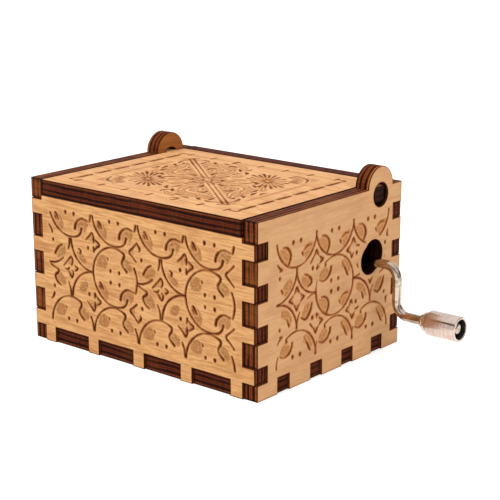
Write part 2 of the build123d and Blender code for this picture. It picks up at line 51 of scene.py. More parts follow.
def makeCamera(setup):
    az, el = math.radians(setup["azimuth"]), math.radians(setup["elevation"])
    away = Vector((math.sin(az) * math.cos(el), -math.cos(az) * math.cos(el), math.sin(el)))
    data = bpy.data.cameras.new("boxCamera")
    data.lens = setup["lens"]
    data.sensor_width = setup["sensor"]
    data.clip_start, data.clip_end = setup["clip"]
    cam = bpy.data.objects.new("boxCamera", data)
    cam.location = (Vector(setup["aim"]) + away * setup["distance"]) * mm
    cam.rotation_euler = away.to_track_quat("Z", "Y").to_euler()
    bpy.context.scene.collection.objects.link(cam)
    bpy.context.scene.camera = cam


makeCamera(cameraSetup)


# Small helpers for materials
def hexColour(text):
    parts = [int(text[i:i + 2], 16) / 255 for i in (1, 3, 5)]
    return [c / 12.92 if c <= 0.04045 else ((c + 0.055) / 1.055) ** 2.4 for c in parts] + [1.0]


def addNode(mat, kind, inputs=(), output=None, **settings):
    # inputs are values or sockets, by name or in the sockets' own order
    node = mat.node_tree.nodes.new(kind)
    for key, value in settings.items():
        setattr(node, key, value)
    for socket, value in inputs.items() if isinstance(inputs, dict) else enumerate(inputs):
        if isinstance(value, bpy.types.NodeSocket):
            mat.node_tree.links.new(value, node.inputs[socket])
        else:
            node.inputs[socket].default_value = value
    return node if output is None else node.outputs[output]


def blankMaterial(name):
    mat = bpy.data.materials.new(name)
    mat.use_nodes = True
    mat.node_tree.nodes.clear()
    return mat


def finishMaterial(mat, shaderInputs):
    shader = addNode(mat, "ShaderNodeBsdfPrincipled", shaderInputs, "BSDF")
    addNode(mat, "ShaderNodeOutputMaterial", {"Surface": shader})
    return mat


smooth = {"interpolation_type": "SMOOTHSTEP"}
colours = {"data_type": "RGBA"}


# Laser engraved birch plywood
# Thin rotary cut birch veneer, sanded and left bare: pale, nearly matt, fine short grain.
# The laser leaves dark brown grooves with a scorched fringe, and tan patches where it rasters.
veneerLook = {
    "pale": "#E0AC72", "deep": "#AE7342", "smoke": "#BE8055", "fleck": "#7A4524",
    "patch": "#A9703F", "vein": "#6E3D1C", "scorch": "#8E4A19", "char": "#421602",
    "patchDepth": 0.72, "veinDepth": 0.35, "mottleDepth": 0.7, "scorchDepth": 0.75, "charDepth": 0.97,
    "rough": (0.62, 0.85),                     # sanded wood, and the char in a groove
    "gloss": 0.12, "grainRelief": 0.1,         # specular level; mm
    "rasterPitch": 0.24,                       # mm; the real 0.1 mm scan lines are too fine to show
    # mm along and across the grain of one mark of each kind
    "sizes": {"streak": (6.5, 0.46), "fibre": (3.0, 0.22), "cloud": (19.0, 2.2), "smoke": (8.0, 6.0),
              "fleck": (1.9, 0.24), "mottle": (0.62, 0.5), "wander": (1.3, 1.1), "weight": (2.6, 2.6)},
    # the wood's own marks: noise, where in it a mark starts and is full, how strong it is, its tone
    "marks": (("streak", 0.4, 0.68, 0.7, "deep"), ("fibre", 0.42, 0.7, 0.45, "deep"),
              ("cloud", 0.46, 0.68, 0.65, "deep"), ("smoke", 0.48, 0.72, 0.5, "smoke"),
              ("fleck", 0.57, 0.75, 0.55, "fleck")),
    # mm that a burnt outline strays from the drawn one: its name, what it follows, which noise moves it
    "strays": (("inside", "patch", "wander", -0.35, 0.35), ("shore", "patch", "wander", -0.14, 0.14),
               ("ragged", "line", "streak", -0.05, 0.05), ("burnt", "ragged", "weight", -0.06, 0.1)),
    # soft sided bands beside an outline, in mm from it: a vein inside each leaf, and a painted highlight of
    # paler wood beside each groove
    "bands": (("leafVein", "inside", (-0.3, -0.45), (-0.7, -0.5)),
              ("wiped", "burnt", (0.58, 0.42), (0.2, 0.34))),
    # what the laser does to the leaf and the wood, with the painted highlight beside each groove, in order:
    # which one, where it starts and is full, how strong it is, its tone
    "layers": (
        ("leaf", "scan", 0.0, 1.0, 0.1, "scorch"), ("leaf", "mottle", 0.42, 0.64, "mottleDepth", "vein"),
        ("leaf", "mottle", 0.44, 0.3, 0.5, "pale"), ("leaf", "leafVein", 0.0, 1.0, "veinDepth", "vein"),
        # painted highlight: paler wood in a band beside each groove
        ("wood", "shore", 0.14, -0.16, "patchDepth", "leaf"), ("wood", "wiped", 0.0, 1.0, 0.4, "pale"),
        ("wood", "burnt", 0.26, -0.03, "scorchDepth", "scorch"),
        ("wood", "burnt", 0.04, -0.16, "charDepth", "char")),
}


def veneerMaterial(name, look):
    mat = blankMaterial(name)
    place = addNode(mat, "ShaderNodeAttribute", (), "Vector", attribute_name="place")
    field = {key: addNode(mat, "ShaderNodeAttribute", (), "Fac", attribute_name=key)
             for key in ("line", "patch")}
    for key, (along, across) in look["sizes"].items():
        spot = addNode(mat, "ShaderNodeMapping", {"Vector": place, "Scale": (1 / along, 1 / across, 0.4)}, 0)
        field[key] = addNode(mat, "ShaderNodeTexNoise", {"Vector": spot, "Scale": 1.0, "Detail": 4.0,
                                                         "Roughness": 0.62, "Distortion": 0.25}, "Fac")
    # a wave of scale 1 has a band every 0.314 of its unit
    field["scan"] = addNode(mat, "ShaderNodeTexWave", {"Vector": place, "Scale": 0.314 / look["rasterPitch"],
                                                       "Distortion": 0.7, "Detail": 1.0}, "Fac",
                            wave_type="BANDS", bands_direction="Y")
    for key, follows, noise, low, high in look["strays"]:
        drift = addNode(mat, "ShaderNodeMapRange", [field[noise], 0.3, 0.7, low, high], 0)
        field[key] = addNode(mat, "ShaderNodeMath", [field[follows], drift], 0, operation="ADD")
    bands = [band[0] for band in look["bands"]]
    for key, follows, *edges in look["bands"]:
        sides = [addNode(mat, "ShaderNodeMapRange", [field[follows], *edge], 0, **smooth) for edge in edges]
        field[key] = addNode(mat, "ShaderNodeMath", sides, 0, operation="MULTIPLY")
    surface = {"wood": hexColour(look["pale"]), "leaf": hexColour(look["patch"])}
    layers = [("wood", *mark) for mark in look["marks"]] + list(look["layers"])
    for target, source, low, high, depth, tone in layers:
        ease = {} if source in bands else smooth
        share = addNode(mat, "ShaderNodeMapRange", [field[source], low, high, 0.0, look.get(depth, depth)],
                        0, **ease)
        paint = surface["leaf"] if tone == "leaf" else hexColour(look[tone])
        surface[target] = addNode(mat, "ShaderNodeMix", {0: share, 6: surface[target], 7: paint}, 2,
                                  **colours)
    # the last layer's share is the char in the grooves: it is the roughest
    rough = addNode(mat, "ShaderNodeMapRange", [share, 0.0, 1.0, *look["rough"]], 0)
    sunk = addNode(mat, "ShaderNodeMapRange", [field["patch"], 0.1, -0.1, 0.0, 0.5], 0, **smooth)
    height = addNode(mat, "ShaderNodeMath", [field["streak"], sunk], 0, operation="ADD")
    bump = addNode(mat, "ShaderNodeBump", {"Height": height, "Strength": 0.3,
                                           "Distance": look["grainRelief"] * mm}, 0)
    return finishMaterial(mat, {"Base Color": surface["wood"], "Roughness": rough,
                                "Specular IOR Level": look["gloss"], "Normal": bump})


# The cut edge shows the plies: burnt end grain in dark bands, redder glue lines between them,
# ribbed across the thickness by the pulses of the laser, nearly without gloss.
edgeLook = {
    "dark": "#1E0904", "mid": "#451C0F", "red": "#6E2D15", "tan": "#985026", "corner": "#120603",
    "plies": ((0.00, "dark"), (0.04, "dark"), (0.08, "tan"), (0.14, "red"), (0.20, "dark"), (0.32, "dark"),
              (0.38, "red"), (0.45, "mid"), (0.53, "red"), (0.59, "dark"), (0.70, "dark"), (0.77, "red"),
              (0.86, "mid"), (0.92, "dark"), (1.00, "dark")),
    "wander": (8.33, 8.33, 4.0), "bend": 0.05,  # mm over which a ply wanders, and by what share of the sheet
    "ribPitch": 0.3,                           # mm; coarser than the real 0.1 mm pulses so that it shows
    "ribDepth": 0.35, "lightDepth": 0.18,      # how far the ribs darken it, and bare patches lighten it
    "charAndShadeDepth": 0.85,                      # how dark the corners of each finger are: burnt, and painted shade of the kerf they sit in
    "rough": (0.55, 0.75), "gloss": 0.05,      # matt char, with next to no specular level
    "ribRelief": 0.12,                         # mm
}


def edgeMaterial(name, look, thickness=sheetThickness):
    mat = blankMaterial(name)
    place = addNode(mat, "ShaderNodeAttribute", (), "Vector", attribute_name="place")
    outline = addNode(mat, "ShaderNodeAttribute", (), "Fac", attribute_name="outline")
    depth = addNode(mat, "ShaderNodeSeparateXYZ", {"Vector": place}, "Z")
    slowScale = [1 / size for size in look["wander"]]
    spot = addNode(mat, "ShaderNodeMapping", {"Vector": place, "Scale": slowScale}, 0)
    wobble = addNode(mat, "ShaderNodeTexNoise", {"Vector": spot, "Scale": 1.0, "Detail": 3.0}, "Fac")
    share = addNode(mat, "ShaderNodeMapRange", [depth, 0.0, thickness], 0)
    drift = addNode(mat, "ShaderNodeMapRange", [wobble, 0.2, 0.8, -look["bend"], look["bend"]], 0, **smooth)
    level = addNode(mat, "ShaderNodeMath", [share, drift], 0, operation="ADD", use_clamp=True)
    ramp = addNode(mat, "ShaderNodeValToRGB", {"Fac": level})
    stops = ramp.color_ramp.elements
    for position, tone in look["plies"][1:-1]:
        stops.new(position).color = hexColour(look[tone])
    stops[0].color = hexColour(look[look["plies"][0][1]])
    stops[-1].color = hexColour(look[look["plies"][-1][1]])
    ribScale = 1 / look["ribPitch"]
    spot = addNode(mat, "ShaderNodeMapping", {"Vector": place, "Scale": (ribScale, ribScale, 0.25)}, 0)
    ribs = addNode(mat, "ShaderNodeTexNoise", {"Vector": spot, "Scale": 1.0, "Detail": 2.0}, "Fac")
    burnt = ramp.outputs["Color"]
    washes = ((wobble, 0.42, 0.75, "lightDepth", "tan"), (ribs, 0.4, 0.72, "ribDepth", "dark"),
              (outline, 0.1, 0.75, "charAndShadeDepth", "corner"))
    for source, low, high, depth, tone in washes:
        share = addNode(mat, "ShaderNodeMapRange", [source, low, high, 0.0, look[depth]], 0, **smooth)
        burnt = addNode(mat, "ShaderNodeMix", {0: share, 6: burnt, 7: hexColour(look[tone])}, 2, **colours)
    bump = addNode(mat, "ShaderNodeBump", {"Height": ribs, "Strength": 0.5,
                                           "Distance": look["ribRelief"] * mm}, 0)
    rough = addNode(mat, "ShaderNodeMapRange", [ribs, 0.3, 0.7, *look["rough"]], 0, **smooth)
    return finishMaterial(mat, {"Base Color": burnt, "Roughness": rough, "Specular IOR Level": look["gloss"],
                                "Normal": bump})


birchVeneer = veneerMaterial("engravedBirchVeneer", veneerLook)
# the end panels were cut at a lower power: the lines are orange brown and the leaves stand out more
endVeneer = veneerMaterial("softlyEngravedBirchVeneer", dict(
    veneerLook, pale="#D5A474", deep="#B58154", smoke="#BC8762", char="#6A2C0B", scorch="#A25C27",
    vein="#8A4E20", patch="#BC7F45", patchDepth=0.85, mottleDepth=0.6,
    marks=(("streak", 0.42, 0.75, 0.4, "deep"), ("fibre", 0.42, 0.75, 0.3, "deep"),
           ("cloud", 0.42, 0.7, 0.5, "deep"), ("smoke", 0.48, 0.74, 0.45, "smoke"),
           ("fleck", 0.6, 0.8, 0.35, "fleck"))))
lidVeneer = veneerMaterial("denselyEngravedBirchVeneer", dict(
    veneerLook, pale="#EAB681", deep="#C2844E", smoke="#CF9468", char="#522208", patch="#BC8048",
    vein="#8A5526", patchDepth=0.62, mottleDepth=0.6, scorchDepth=0.675, charDepth=0.873))
# the side that faced down in the laser bed is browned by the smoke
smokedVeneer = veneerMaterial("smokedBirchVeneer", dict(
    veneerLook, pale="#A5652F", deep="#8A5223", smoke="#7A4522", scorchDepth=0.675, charDepth=0.873))
# front and back; the two ends, less burnt; the lid and the bottom; the walls of the round holes, charred and
# painted darker still as the shade inside them
cutEdge = edgeMaterial("laserCutPlywoodEdge", edgeLook)
paleEdge = edgeMaterial("laserCutEndPanelEdge", dict(
    edgeLook, mid="#5A2612", red="#853D1B", tan="#BC7438", lightDepth=0.3))
deepEdge = edgeMaterial("laserCutLidEdge", dict(
    edgeLook, mid="#41190C", red="#662A13", tan="#8A4722", lightDepth=0.16))
# painted shade: the same plies in near black tones, for the shade inside the round holes
charredShadedBore = edgeMaterial("charredPlywoodBoreWithPaintedShade", dict(
    edgeLook, dark="#0E0503", mid="#1E0D07", red="#351509", tan="#552A14", lightDepth=0.1))
print("stage: wood materials made")


# The engraved drawing, in mm on the panel's own face
# A stroke is a list of (across, up, half width); a leaf is a closed outline that is rastered.
def arc(cx, cy, radius, start, end, first=0.2, last=0.2, waist=0.0):
    count = max(3, int(abs(end - start) / 9) + 1)
    shares = [i / (count - 1) for i in range(count)]
    turns = [math.radians(start + (end - start) * t) for t in shares]
    widths = [first + (last - first) * t - waist * math.sin(math.pi * t) for t in shares]
    return [(cx + radius * math.cos(t), cy + radius * math.sin(t), w) for t, w in zip(turns, widths)]


def dotAt(x, y, size=0.36):
    return [(x, y - 0.13, size * 0.85), (x, y + 0.1, size)]


def chevron(turn, reach=2.35, tall=1.15, wide=0.8, cx=0.0, cy=0.0):
    # two short legs that meet in a thick tip, that far out from the middle in the direction turn
    out = Vector((math.cos(math.radians(turn)), math.sin(math.radians(turn))))
    side = Vector((-out.y, out.x))
    middle = Vector((cx, cy))
    ends = [middle + out * (reach - tall) + side * s * wide for s in (1, -1)]
    tip = middle + out * reach
    knees = [(e + tip) / 2 for e in ends]
    points = [(ends[0], 0.16), (knees[0], 0.24), (tip, 0.3), (knees[1], 0.24), (ends[1], 0.16)]
    return [(p.x, p.y, w) for p, w in points]


def star(tips, dots=(), reach=2.2):
    # the wedges round a four petalled cross; a missing wedge has a dot instead
    strokes = [chevron(t, reach) for t in tips]
    for turn, way in dots:
        strokes.append(dotAt(way * math.cos(math.radians(turn)), way * math.sin(math.radians(turn)), 0.4))
    wedges = [[stroke[i][:2] for i in (0, 2, 4)] for stroke in strokes[:len(tips)]]
    return {"strokes": strokes, "leaves": wedges}


# long side: a curl hooks out of every ring at the lower right and a leaf hangs at the upper right
def longUpper(end):
    return {
        "strokes": [
            arc(0, 0, 6.5, 84, end, 0.16, 0.27, 0.02),
            [(0.6, 6.45, 0.16), (1.8, 6.1, 0.22), (2.75, 5.6, 0.34), (2.75, 4.9, 0.32), (2.1, 3.8, 0.22),
             (2.35, 2.9, 0.24), (3.5, 1.9, 0.26)],
            arc(0, 0, 6.5, 28, 180 - end, 0.24, 0.26),
            dotAt(1.28, 1.25), dotAt(-1.28, 1.25), [(-2.1, 4.1, 0.1), (-1.9, 3.7, 0.2)],
        ],
        "leaves": [
            [(2.9, 4.9), (4.3, 4.3), (5.4, 3.1), (4.9, 2.2), (3.6, 2.0), (2.5, 2.8), (2.2, 3.7)],
            [(-5.3, 2.3), (-4.2, 1.6), (-2.6, 1.8), (-1.9, 3.0), (-2.2, 4.1), (-3.7, 4.6), (-5.0, 3.8)],
        ],
    }


def longLower(start, last):
    return {
        "strokes": [
            arc(0, 0, 6.4, start, 282, 0.26, 0.2, 0.04)
            + [(2.4, -5.9, 0.24), (3.15, -5.2, 0.26), (3.5, -4.2, 0.34)],
            [(1.55, -4.4, 0.36), (1.75, -3.4, 0.3), (2.6, -2.4, 0.22), (3.9, -1.9, 0.17), (5.4, -2.2, 0.13)],
            arc(0, 0, 6.4, -20, last, 0.22, 0.27),
            dotAt(1.28, -1.3), dotAt(-1.28, -1.3),
            [(-4.5, -1.8, 0.26), (-4.1, -2.3, 0.28), (-3.6, -3.1, 0.16)],
            [(-4.6, -2.6, 0.2), (-4.3, -3.1, 0.14)],
        ],
        "leaves": [
            [(1.9, -3.7), (2.7, -2.6), (4.1, -2.1), (5.5, -2.5), (5.4, -3.6), (4.4, -4.8), (3.6, -4.0),
             (2.6, -4.9)],
            [(-5.0, -1.8), (-4.1, -1.5), (-2.6, -2.6), (-2.0, -4.1), (-2.5, -5.5), (-4.3, -4.6),
             (-5.3, -3.2)],
        ],
    }


longMotifs = {
    "bowl": longLower(188, -8), "firstBowl": longLower(199, -8), "dome": longUpper(178),
    "ringTop": longUpper(184), "ringBottom": longLower(184, -4),
    "diamond": {
        "strokes": [
            arc(-6.67, 6.5, 6.45, -2, -22, 0.3, 0.22),
            [(-2.6, 4.6, 0.15), (-3.5, 4.2, 0.22), (-4.3, 3.4, 0.25), (-5.0, 2.3, 0.3)],
            arc(-6.67, 6.5, 6.45, -48, -90, 0.16, 0.25),
            arc(6.67, 6.5, 6.45, 182, 269, 0.28, 0.18),
            [(2.5, 4.5, 0.16), (3.1, 4.1, 0.3), (2.9, 3.5, 0.2)],
            [(-6.4, -0.4, 0.22), (-5.2, -0.9, 0.18), (-4.0, -1.3, 0.24), (-4.3, -2.0, 0.3), (-5.1, -2.6, 0.3),
             (-5.1, -3.3, 0.26), (-4.4, -4.2, 0.2), (-3.4, -4.7, 0.15)],
            arc(-6.67, -6.5, 6.45, 28, 2, 0.18, 0.3),
            arc(6.67, -6.5, 6.45, 178, 91, 0.3, 0.17),
            [(-2.3, 0.0, 0.15), (-1.1, 1.25, 0.2), (0.0, 2.3, 0.24), (0.5, 1.4, 0.26), (0.15, 0.5, 0.18)],
            [(-1.9, -0.7, 0.15), (-1.0, -0.7, 0.24), (-0.6, -0.2, 0.14)],
            [(-0.9, -1.1, 0.18), (0.1, -2.3, 0.26), (0.6, -1.3, 0.24), (0.3, -0.7, 0.15)],
            [(1.2, 0.5, 0.15), (2.0, -0.05, 0.26), (1.3, -0.6, 0.18)],
        ],
        "leaves": [
            [(0.0, 2.1), (-1.9, 0.1), (0.3, 0.5)], [(0.0, -2.1), (-0.9, -1.1), (0.3, -0.6)],
            [(2.0, 0.0), (1.1, 0.6), (1.1, -0.7)],
            [(-4.9, 2.1), (-4.2, 3.5), (-3.0, 4.4), (-1.9, 4.3), (-1.5, 3.0), (-2.4, 2.0), (-3.6, 1.3)],
            [(1.9, 3.9), (2.9, 3.9), (4.0, 3.2), (4.9, 2.2), (4.4, 1.3), (3.0, 1.8), (2.2, 2.9)],
            [(-4.1, -1.5), (-3.0, -1.8), (-2.0, -3.0), (-1.8, -4.2), (-3.4, -4.6), (-4.6, -4.0), (-5.0, -3.1),
             (-4.3, -2.2)],
            [(2.9, -3.0), (4.4, -2.4), (5.2, -3.0), (4.4, -4.5), (3.0, -4.9), (2.4, -4.2)],
        ],
    },
    "starA": {"strokes": [
        [(-1.9, 0.3, 0.15), (-0.9, 1.2, 0.2), (0.0, 2.1, 0.26), (0.5, 1.3, 0.24), (0.7, 0.5, 0.16)],
        [(1.1, 0.7, 0.16), (2.2, -0.2, 0.28), (1.4, -0.9, 0.24), (0.7, -1.5, 0.18)], dotAt(-1.25, -1.4),
        [(0.4, -0.9, 0.2), (0.5, -1.8, 0.32)], [(0.35, 1.0, 0.24), (0.45, 0.1, 0.2)]],
        "leaves": [[(0.0, 2.0), (-1.7, 0.3), (0.5, 0.2)], [(2.1, -0.2), (1.0, 0.8), (0.9, -1.4)],
                   [(0.4, -0.8), (0.5, -1.9), (1.3, -1.1)]]},
    "starB": {"strokes": [
        [(0.0, 2.1, 0.22), (-1.1, 1.0, 0.2), (-2.3, -0.2, 0.26), (-1.3, -1.1, 0.2), (-0.3, -1.9, 0.17)],
        [(0.1, 1.9, 0.2), (0.8, 1.0, 0.3), (0.6, 0.4, 0.16)], dotAt(1.2, -1.3, 0.34)],
        "leaves": [[(0.0, 1.9), (0.1, 0.7), (1.0, 0.8)], [(-2.1, -0.2), (-1.0, 0.9), (-0.9, -1.2)]]},
    "starLeft": {"strokes": [[(0.0, 1.9, 0.15), (0.7, 1.1, 0.24), (1.0, 0.4, 0.3)], dotAt(1.15, -1.3, 0.34)],
                 "leaves": []},
    "starRight": {"strokes": [[(-0.3, 2.0, 0.2), (-1.3, 1.0, 0.2), (-2.4, -0.1, 0.26), (-1.4, -1.2, 0.2),
                               (-0.3, -2.2, 0.2)]], "leaves": []},
}


# short side: the leaves sit against the rings, and the curls are thick commas on the left
def shortUpper():
    return {
        "strokes": [
            arc(0, 0, 6.35, -3, 122, 0.26, 0.2, 0.05) + [(-3.2, 4.9, 0.34)],
            arc(0, 0, 6.35, 158, 184, 0.16, 0.26),
            [(-1.35, 4.2, 0.34), (-1.5, 3.3, 0.34), (-2.2, 2.3, 0.28), (-3.3, 1.75, 0.2), (-4.4, 1.8, 0.15),
             (-5.2, 2.2, 0.12)],
            [(3.0, 3.6, 0.12), (3.6, 2.7, 0.26), (4.1, 1.7, 0.3), (4.5, 1.2, 0.2)],
            [(2.4, 4.6, 0.1), (3.0, 3.6, 0.12)],
            dotAt(1.2, 1.2, 0.42), dotAt(-1.2, 1.2, 0.42),
        ],
        "leaves": [
            [(-3.5, 4.8), (-2.6, 4.2), (-1.8, 3.2), (-2.4, 2.2), (-3.6, 1.8), (-5.3, 2.3), (-5.0, 3.6)],
            [(2.1, 3.8), (2.9, 5.2), (4.4, 4.4), (5.5, 2.8), (4.9, 1.8), (3.4, 2.4)],
        ],
    }


def shortLower(start, last):
    return {
        "strokes": [
            arc(0, 0, 6.3, start, last, 0.27, 0.27, 0.09),
            [(-4.5, -1.5, 0.12), (-3.1, -1.8, 0.2), (-2.1, -2.9, 0.3), (-2.0, -4.1, 0.3), (-2.8, -5.7, 0.2)],
            [(1.6, -3.7, 0.26), (1.9, -4.3, 0.22)], [(2.4, -3.2, 0.12), (3.4, -2.6, 0.2), (4.6, -2.6, 0.12)],
            dotAt(1.2, -1.1, 0.42), dotAt(-1.2, -1.1, 0.42),
        ],
        "leaves": [
            [(-5.9, -2.2), (-4.3, -1.7), (-3.1, -1.9), (-2.2, -3.0), (-2.1, -4.2), (-2.9, -5.6),
             (-4.8, -4.2)],
            [(1.6, -3.7), (2.4, -2.4), (4.2, -1.9), (5.7, -2.4), (4.9, -4.1), (3.1, -5.5), (2.2, -4.5)],
        ],
    }


shortMotifs = {
    "bowl": shortLower(182, 358), "firstBowl": shortLower(186, 358), "dome": shortUpper(),
    "ringTop": shortUpper(), "ringBottom": shortLower(184, 357),
    "diamond": {
        "strokes": [
            arc(-6.3, 6.4, 6.35, -2, -90, 0.28, 0.2), [(-4.9, 2.9, 0.2), (-4.5, 2.2, 0.26)],
            arc(6.3, 6.4, 6.35, 182, 270, 0.28, 0.2),
            [(2.4, 4.6, 0.13), (3.7, 4.0, 0.18), (4.8, 2.8, 0.3), (4.5, 2.1, 0.26), (3.5, 1.7, 0.15)],
            arc(-6.3, -6.4, 6.35, 88, 2, 0.2, 0.3),
            [(-3.1, -3.7, 0.16), (-2.7, -4.4, 0.28), (-2.4, -5.1, 0.28)],
            arc(6.3, -6.4, 6.35, 91, 117, 0.18, 0.16), arc(6.3, -6.4, 6.35, 148, 178, 0.16, 0.3),
            [(4.9, -1.9, 0.2), (4.8, -2.7, 0.32), (4.2, -3.9, 0.34), (2.9, -5.0, 0.26), (1.4, -4.3, 0.16)],
        ] + star((90, 0, 180, 270), (), 2.35)["strokes"],
        "leaves": star((90, 0, 180, 270), (), 2.35)["leaves"] + [
            [(-4.8, 2.4), (-3.7, 4.1), (-2.1, 4.6), (-1.2, 3.6), (-1.8, 2.4), (-3.4, 1.2)],
            [(1.9, 4.3), (2.9, 4.4), (4.4, 3.0), (4.5, 2.2), (3.4, 1.6), (2.0, 2.2), (1.4, 3.4)],
            [(-5.0, -2.4), (-4.6, -1.2), (-3.0, -1.6), (-1.8, -2.9), (-1.5, -4.6), (-2.4, -5.0), (-3.1, -3.8),
             (-4.2, -3.3)],
            [(1.6, -4.0), (2.0, -2.9), (3.2, -1.7), (4.6, -2.0), (4.2, -3.7), (2.9, -4.8)],
        ],
    },
    "starA": {"strokes": star((90, 0), ((228, 1.75),))["strokes"] + [
        [(-1.9, -0.1, 0.2), (-1.0, 0.9, 0.2)], [(0.4, -0.9, 0.2), (0.2, -1.7, 0.3), (0.9, -1.3, 0.2)]],
        "leaves": star((90, 0))["leaves"]},
    "starB": {"strokes": star((90, 180), ((-45, 1.7),))["strokes"] + [
        [(1.0, 0.5, 0.2), (2.0, 0.3, 0.24)], [(-0.9, -0.9, 0.22), (-0.5, -1.8, 0.32), (0.0, -1.0, 0.16)]],
        "leaves": star((90, 180))["leaves"]},
    "starLeft": {"strokes": [[(0.2, 1.7, 0.16), (0.9, 0.9, 0.26), (1.6, 0.4, 0.28), (0.9, 0.3, 0.2)],
                             dotAt(0.9, -1.2, 0.36)], "leaves": []},
    "starRight": {"strokes": [[(-0.3, 1.6, 0.22), (-0.4, 0.5, 0.34), (0.0, 0.3, 0.2)],
                              dotAt(-1.1, -1.0, 0.36)], "leaves": []},
}


def stamp(drawing, motif, cx, cy, flipUp=False):
    # puts one motif on the drawing at that centre, upside down if asked
    turn = -1 if flipUp else 1
    for stroke in motif["strokes"]:
        drawing["strokes"].append([(cx + x, cy + y * turn, w) for x, y, w in stroke])
    for leaf in motif["leaves"]:
        drawing["leaves"].append([(cx + x, cy + y * turn) for x, y in leaf])


def bandDrawing(motifs, band, mirrorAcross=False):
    # rings and diamonds take turns along the middle row, with half rings above and below
    drawing = {"strokes": [], "leaves": []}
    centres, rows = band["centres"], band["rows"]
    pitch = centres[1] - centres[0]
    for number, cx in enumerate(centres):
        stamp(drawing, motifs["bowl" if number else "firstBowl"], cx, rows["bowl"])
        stamp(drawing, motifs["dome"], cx, rows["dome"])
        for kind in ("ringTop", "ringBottom") if number % 2 else ("diamond",):
            stamp(drawing, motifs[kind], cx, rows["ring"])
    between = [("starB", "starA")[number % 2] for number in range(1, len(centres))]
    for number, kind in enumerate(["starLeft", *between, "starRight"]):
        cx = centres[0] - pitch / 2 + number * pitch
        stamp(drawing, motifs[kind], cx, rows["starTop"])
        stamp(drawing, motifs[kind], cx, rows["starBottom"], True)
    wide, tall = band["stretch"]
    wide *= -1 if mirrorAcross else 1
    return {"strokes": [[(x * wide, y * tall, w) for x, y, w in s] for s in drawing["strokes"]],
            "leaves": [[(x * wide, y * tall) for x, y in s] for s in drawing["leaves"]]}


longBand = {"centres": [-19.72, -6.47, 6.78, 20.03], "stretch": (65 / 64, 65 / 64),
            "rows": {"bowl": 31.55, "ring": 18.35, "dome": 5.2, "starTop": 24.9, "starBottom": 11.9}}
shortBand = {"centres": [-11.85, 0.65, 13.15], "stretch": (1.025, 65 / 64),
             "rows": {"bowl": 31.35, "ring": 18.45, "dome": 5.35, "starTop": 24.95, "starBottom": 12.0}}

# The lid: a border, a double bar from corner to corner, a rosette on either side of it, and scrolls
lidBand = {
    "middle": (-0.5, -2.0), "border": (23.6, 18.3), "frame": (19.6, 16.0),
    "marks": 7.15, "dashes": 5.7, "tanBand": (0.55, 10.0),
    "barGap": 0.52, "barReach": 0.93, "barEnd": (1.8, 0.24),
    "barWidths": ((0.0, 0.1), (0.45, 0.13), (0.8, 0.19), (1.0, 0.24)), "barStart": 1.3,
    "rosette": (10.9, 7.4), "petals": 20, "petalReach": ((1.7, 3.0), (4.2, 7.4)), "shortPetal": 0.88,
    "eye": (1.5, 2.7), "palmette": 6.6,
    # mm in from the frame's corner, and from the border's own
    "wedge": [(0.5, 0.5), (5.0, 0.6), (2.4, 1.9), (0.6, 4.4)],
    "scroll": [(5.6, 0.9, 0.14), (2.7, 2.1, 0.22), (1.0, 5.0, 0.14)],
    "hook": [(-0.3, 1.6, 0.2), (-0.3, 0.0, 0.26), (1.5, 0.0, 0.2)],
}


def blockAt(x, y, halfWide, halfTall):
    return [(x + halfWide * i, y + halfTall * j) for i, j in ((-1, -1), (1, -1), (1, 1), (-1, 1))]


def lidBorder(drawing, band):
    # long dashes down the two short sides, small cross marks with a tan ribbon between them on the long ones
    (mx, my), (bx, by), (fx, fy) = band["middle"], band["border"], band["frame"]
    strokes, leaves = drawing["strokes"], drawing["leaves"]
    for side in (-1, 1):
        for i in range(-3, 4):
            x, y = mx + i * band["marks"], my + side * by
            strokes.append([(x - 0.12, y - 0.65, 0.36), (x + 0.12, y + 0.65, 0.42)])
            if i < 3:
                leaves.append(blockAt(x + band["marks"] / 2, y, band["marks"] / 2 - 1.0, 0.25))
        for i in range(-3, 3):
            x, y = mx + side * bx, my + (i + 0.5) * band["dashes"]
            strokes.append([(x, y - 2.3, 0.3), (x, y, 0.42), (x, y + 2.3, 0.3)])
            leaves.append(blockAt(x, y, 1.0, 2.1))
        leaves.append(blockAt(mx + side * fx, my, *band["tanBand"]))
        for turn in (-1, 1):
            for target, shape, (cx, cy) in ((leaves, "wedge", (fx, fy)), (strokes, "scroll", (fx, fy)),
                                            (strokes, "hook", (bx, by))):
                target.append([(mx + side * (cx - p[0]), my + turn * (cy - p[1]), *p[2:])
                               for p in band[shape]])


def lidRosette(drawing, cx, cy, band):
    # teardrop cuts round a small eye, drawn out along the bar, with a short ray in each gap
    (nearAcross, nearAlong), (farAcross, farAlong) = band["petalReach"]
    eyeAcross, eyeAlong = band["eye"]
    fx, fy = band["frame"]
    d, n = Vector((fx, -fy)).normalized(), Vector((fy, fx)).normalized()
    for i in range(band["petals"]):
        q = 2 * math.pi * (i + 0.5) / band["petals"]
        stretch = 1.0 if i % 2 else band["shortPetal"]
        ray = []
        for share, width in ((0.0, 0.1), (0.55, 0.22), (1.0, 0.34 if i % 2 else 0.26)):
            spot = (n * (nearAcross + (farAcross * stretch - nearAcross) * share) * math.cos(q)
                    + d * (nearAlong + (farAlong * stretch - nearAlong) * share) * math.sin(q))
            ray.append((cx + spot.x, cy + spot.y, width))
        drawing["strokes"].append(ray)
        if i % 2:
            inner = [n * math.cos(q) * nearAcross * k + d * math.sin(q) * nearAlong * k for k in (0.4, 0.8)]
            drawing["strokes"].append([(cx + p.x, cy + p.y, 0.2) for p in inner])
    eye = [n * eyeAcross * math.cos(q) + d * eyeAlong * math.sin(q) for q in (0, 1.05, 2.1, 3.14, 4.2, 5.2)]
    drawing["leaves"].append([(cx + p.x, cy + p.y) for p in eye])


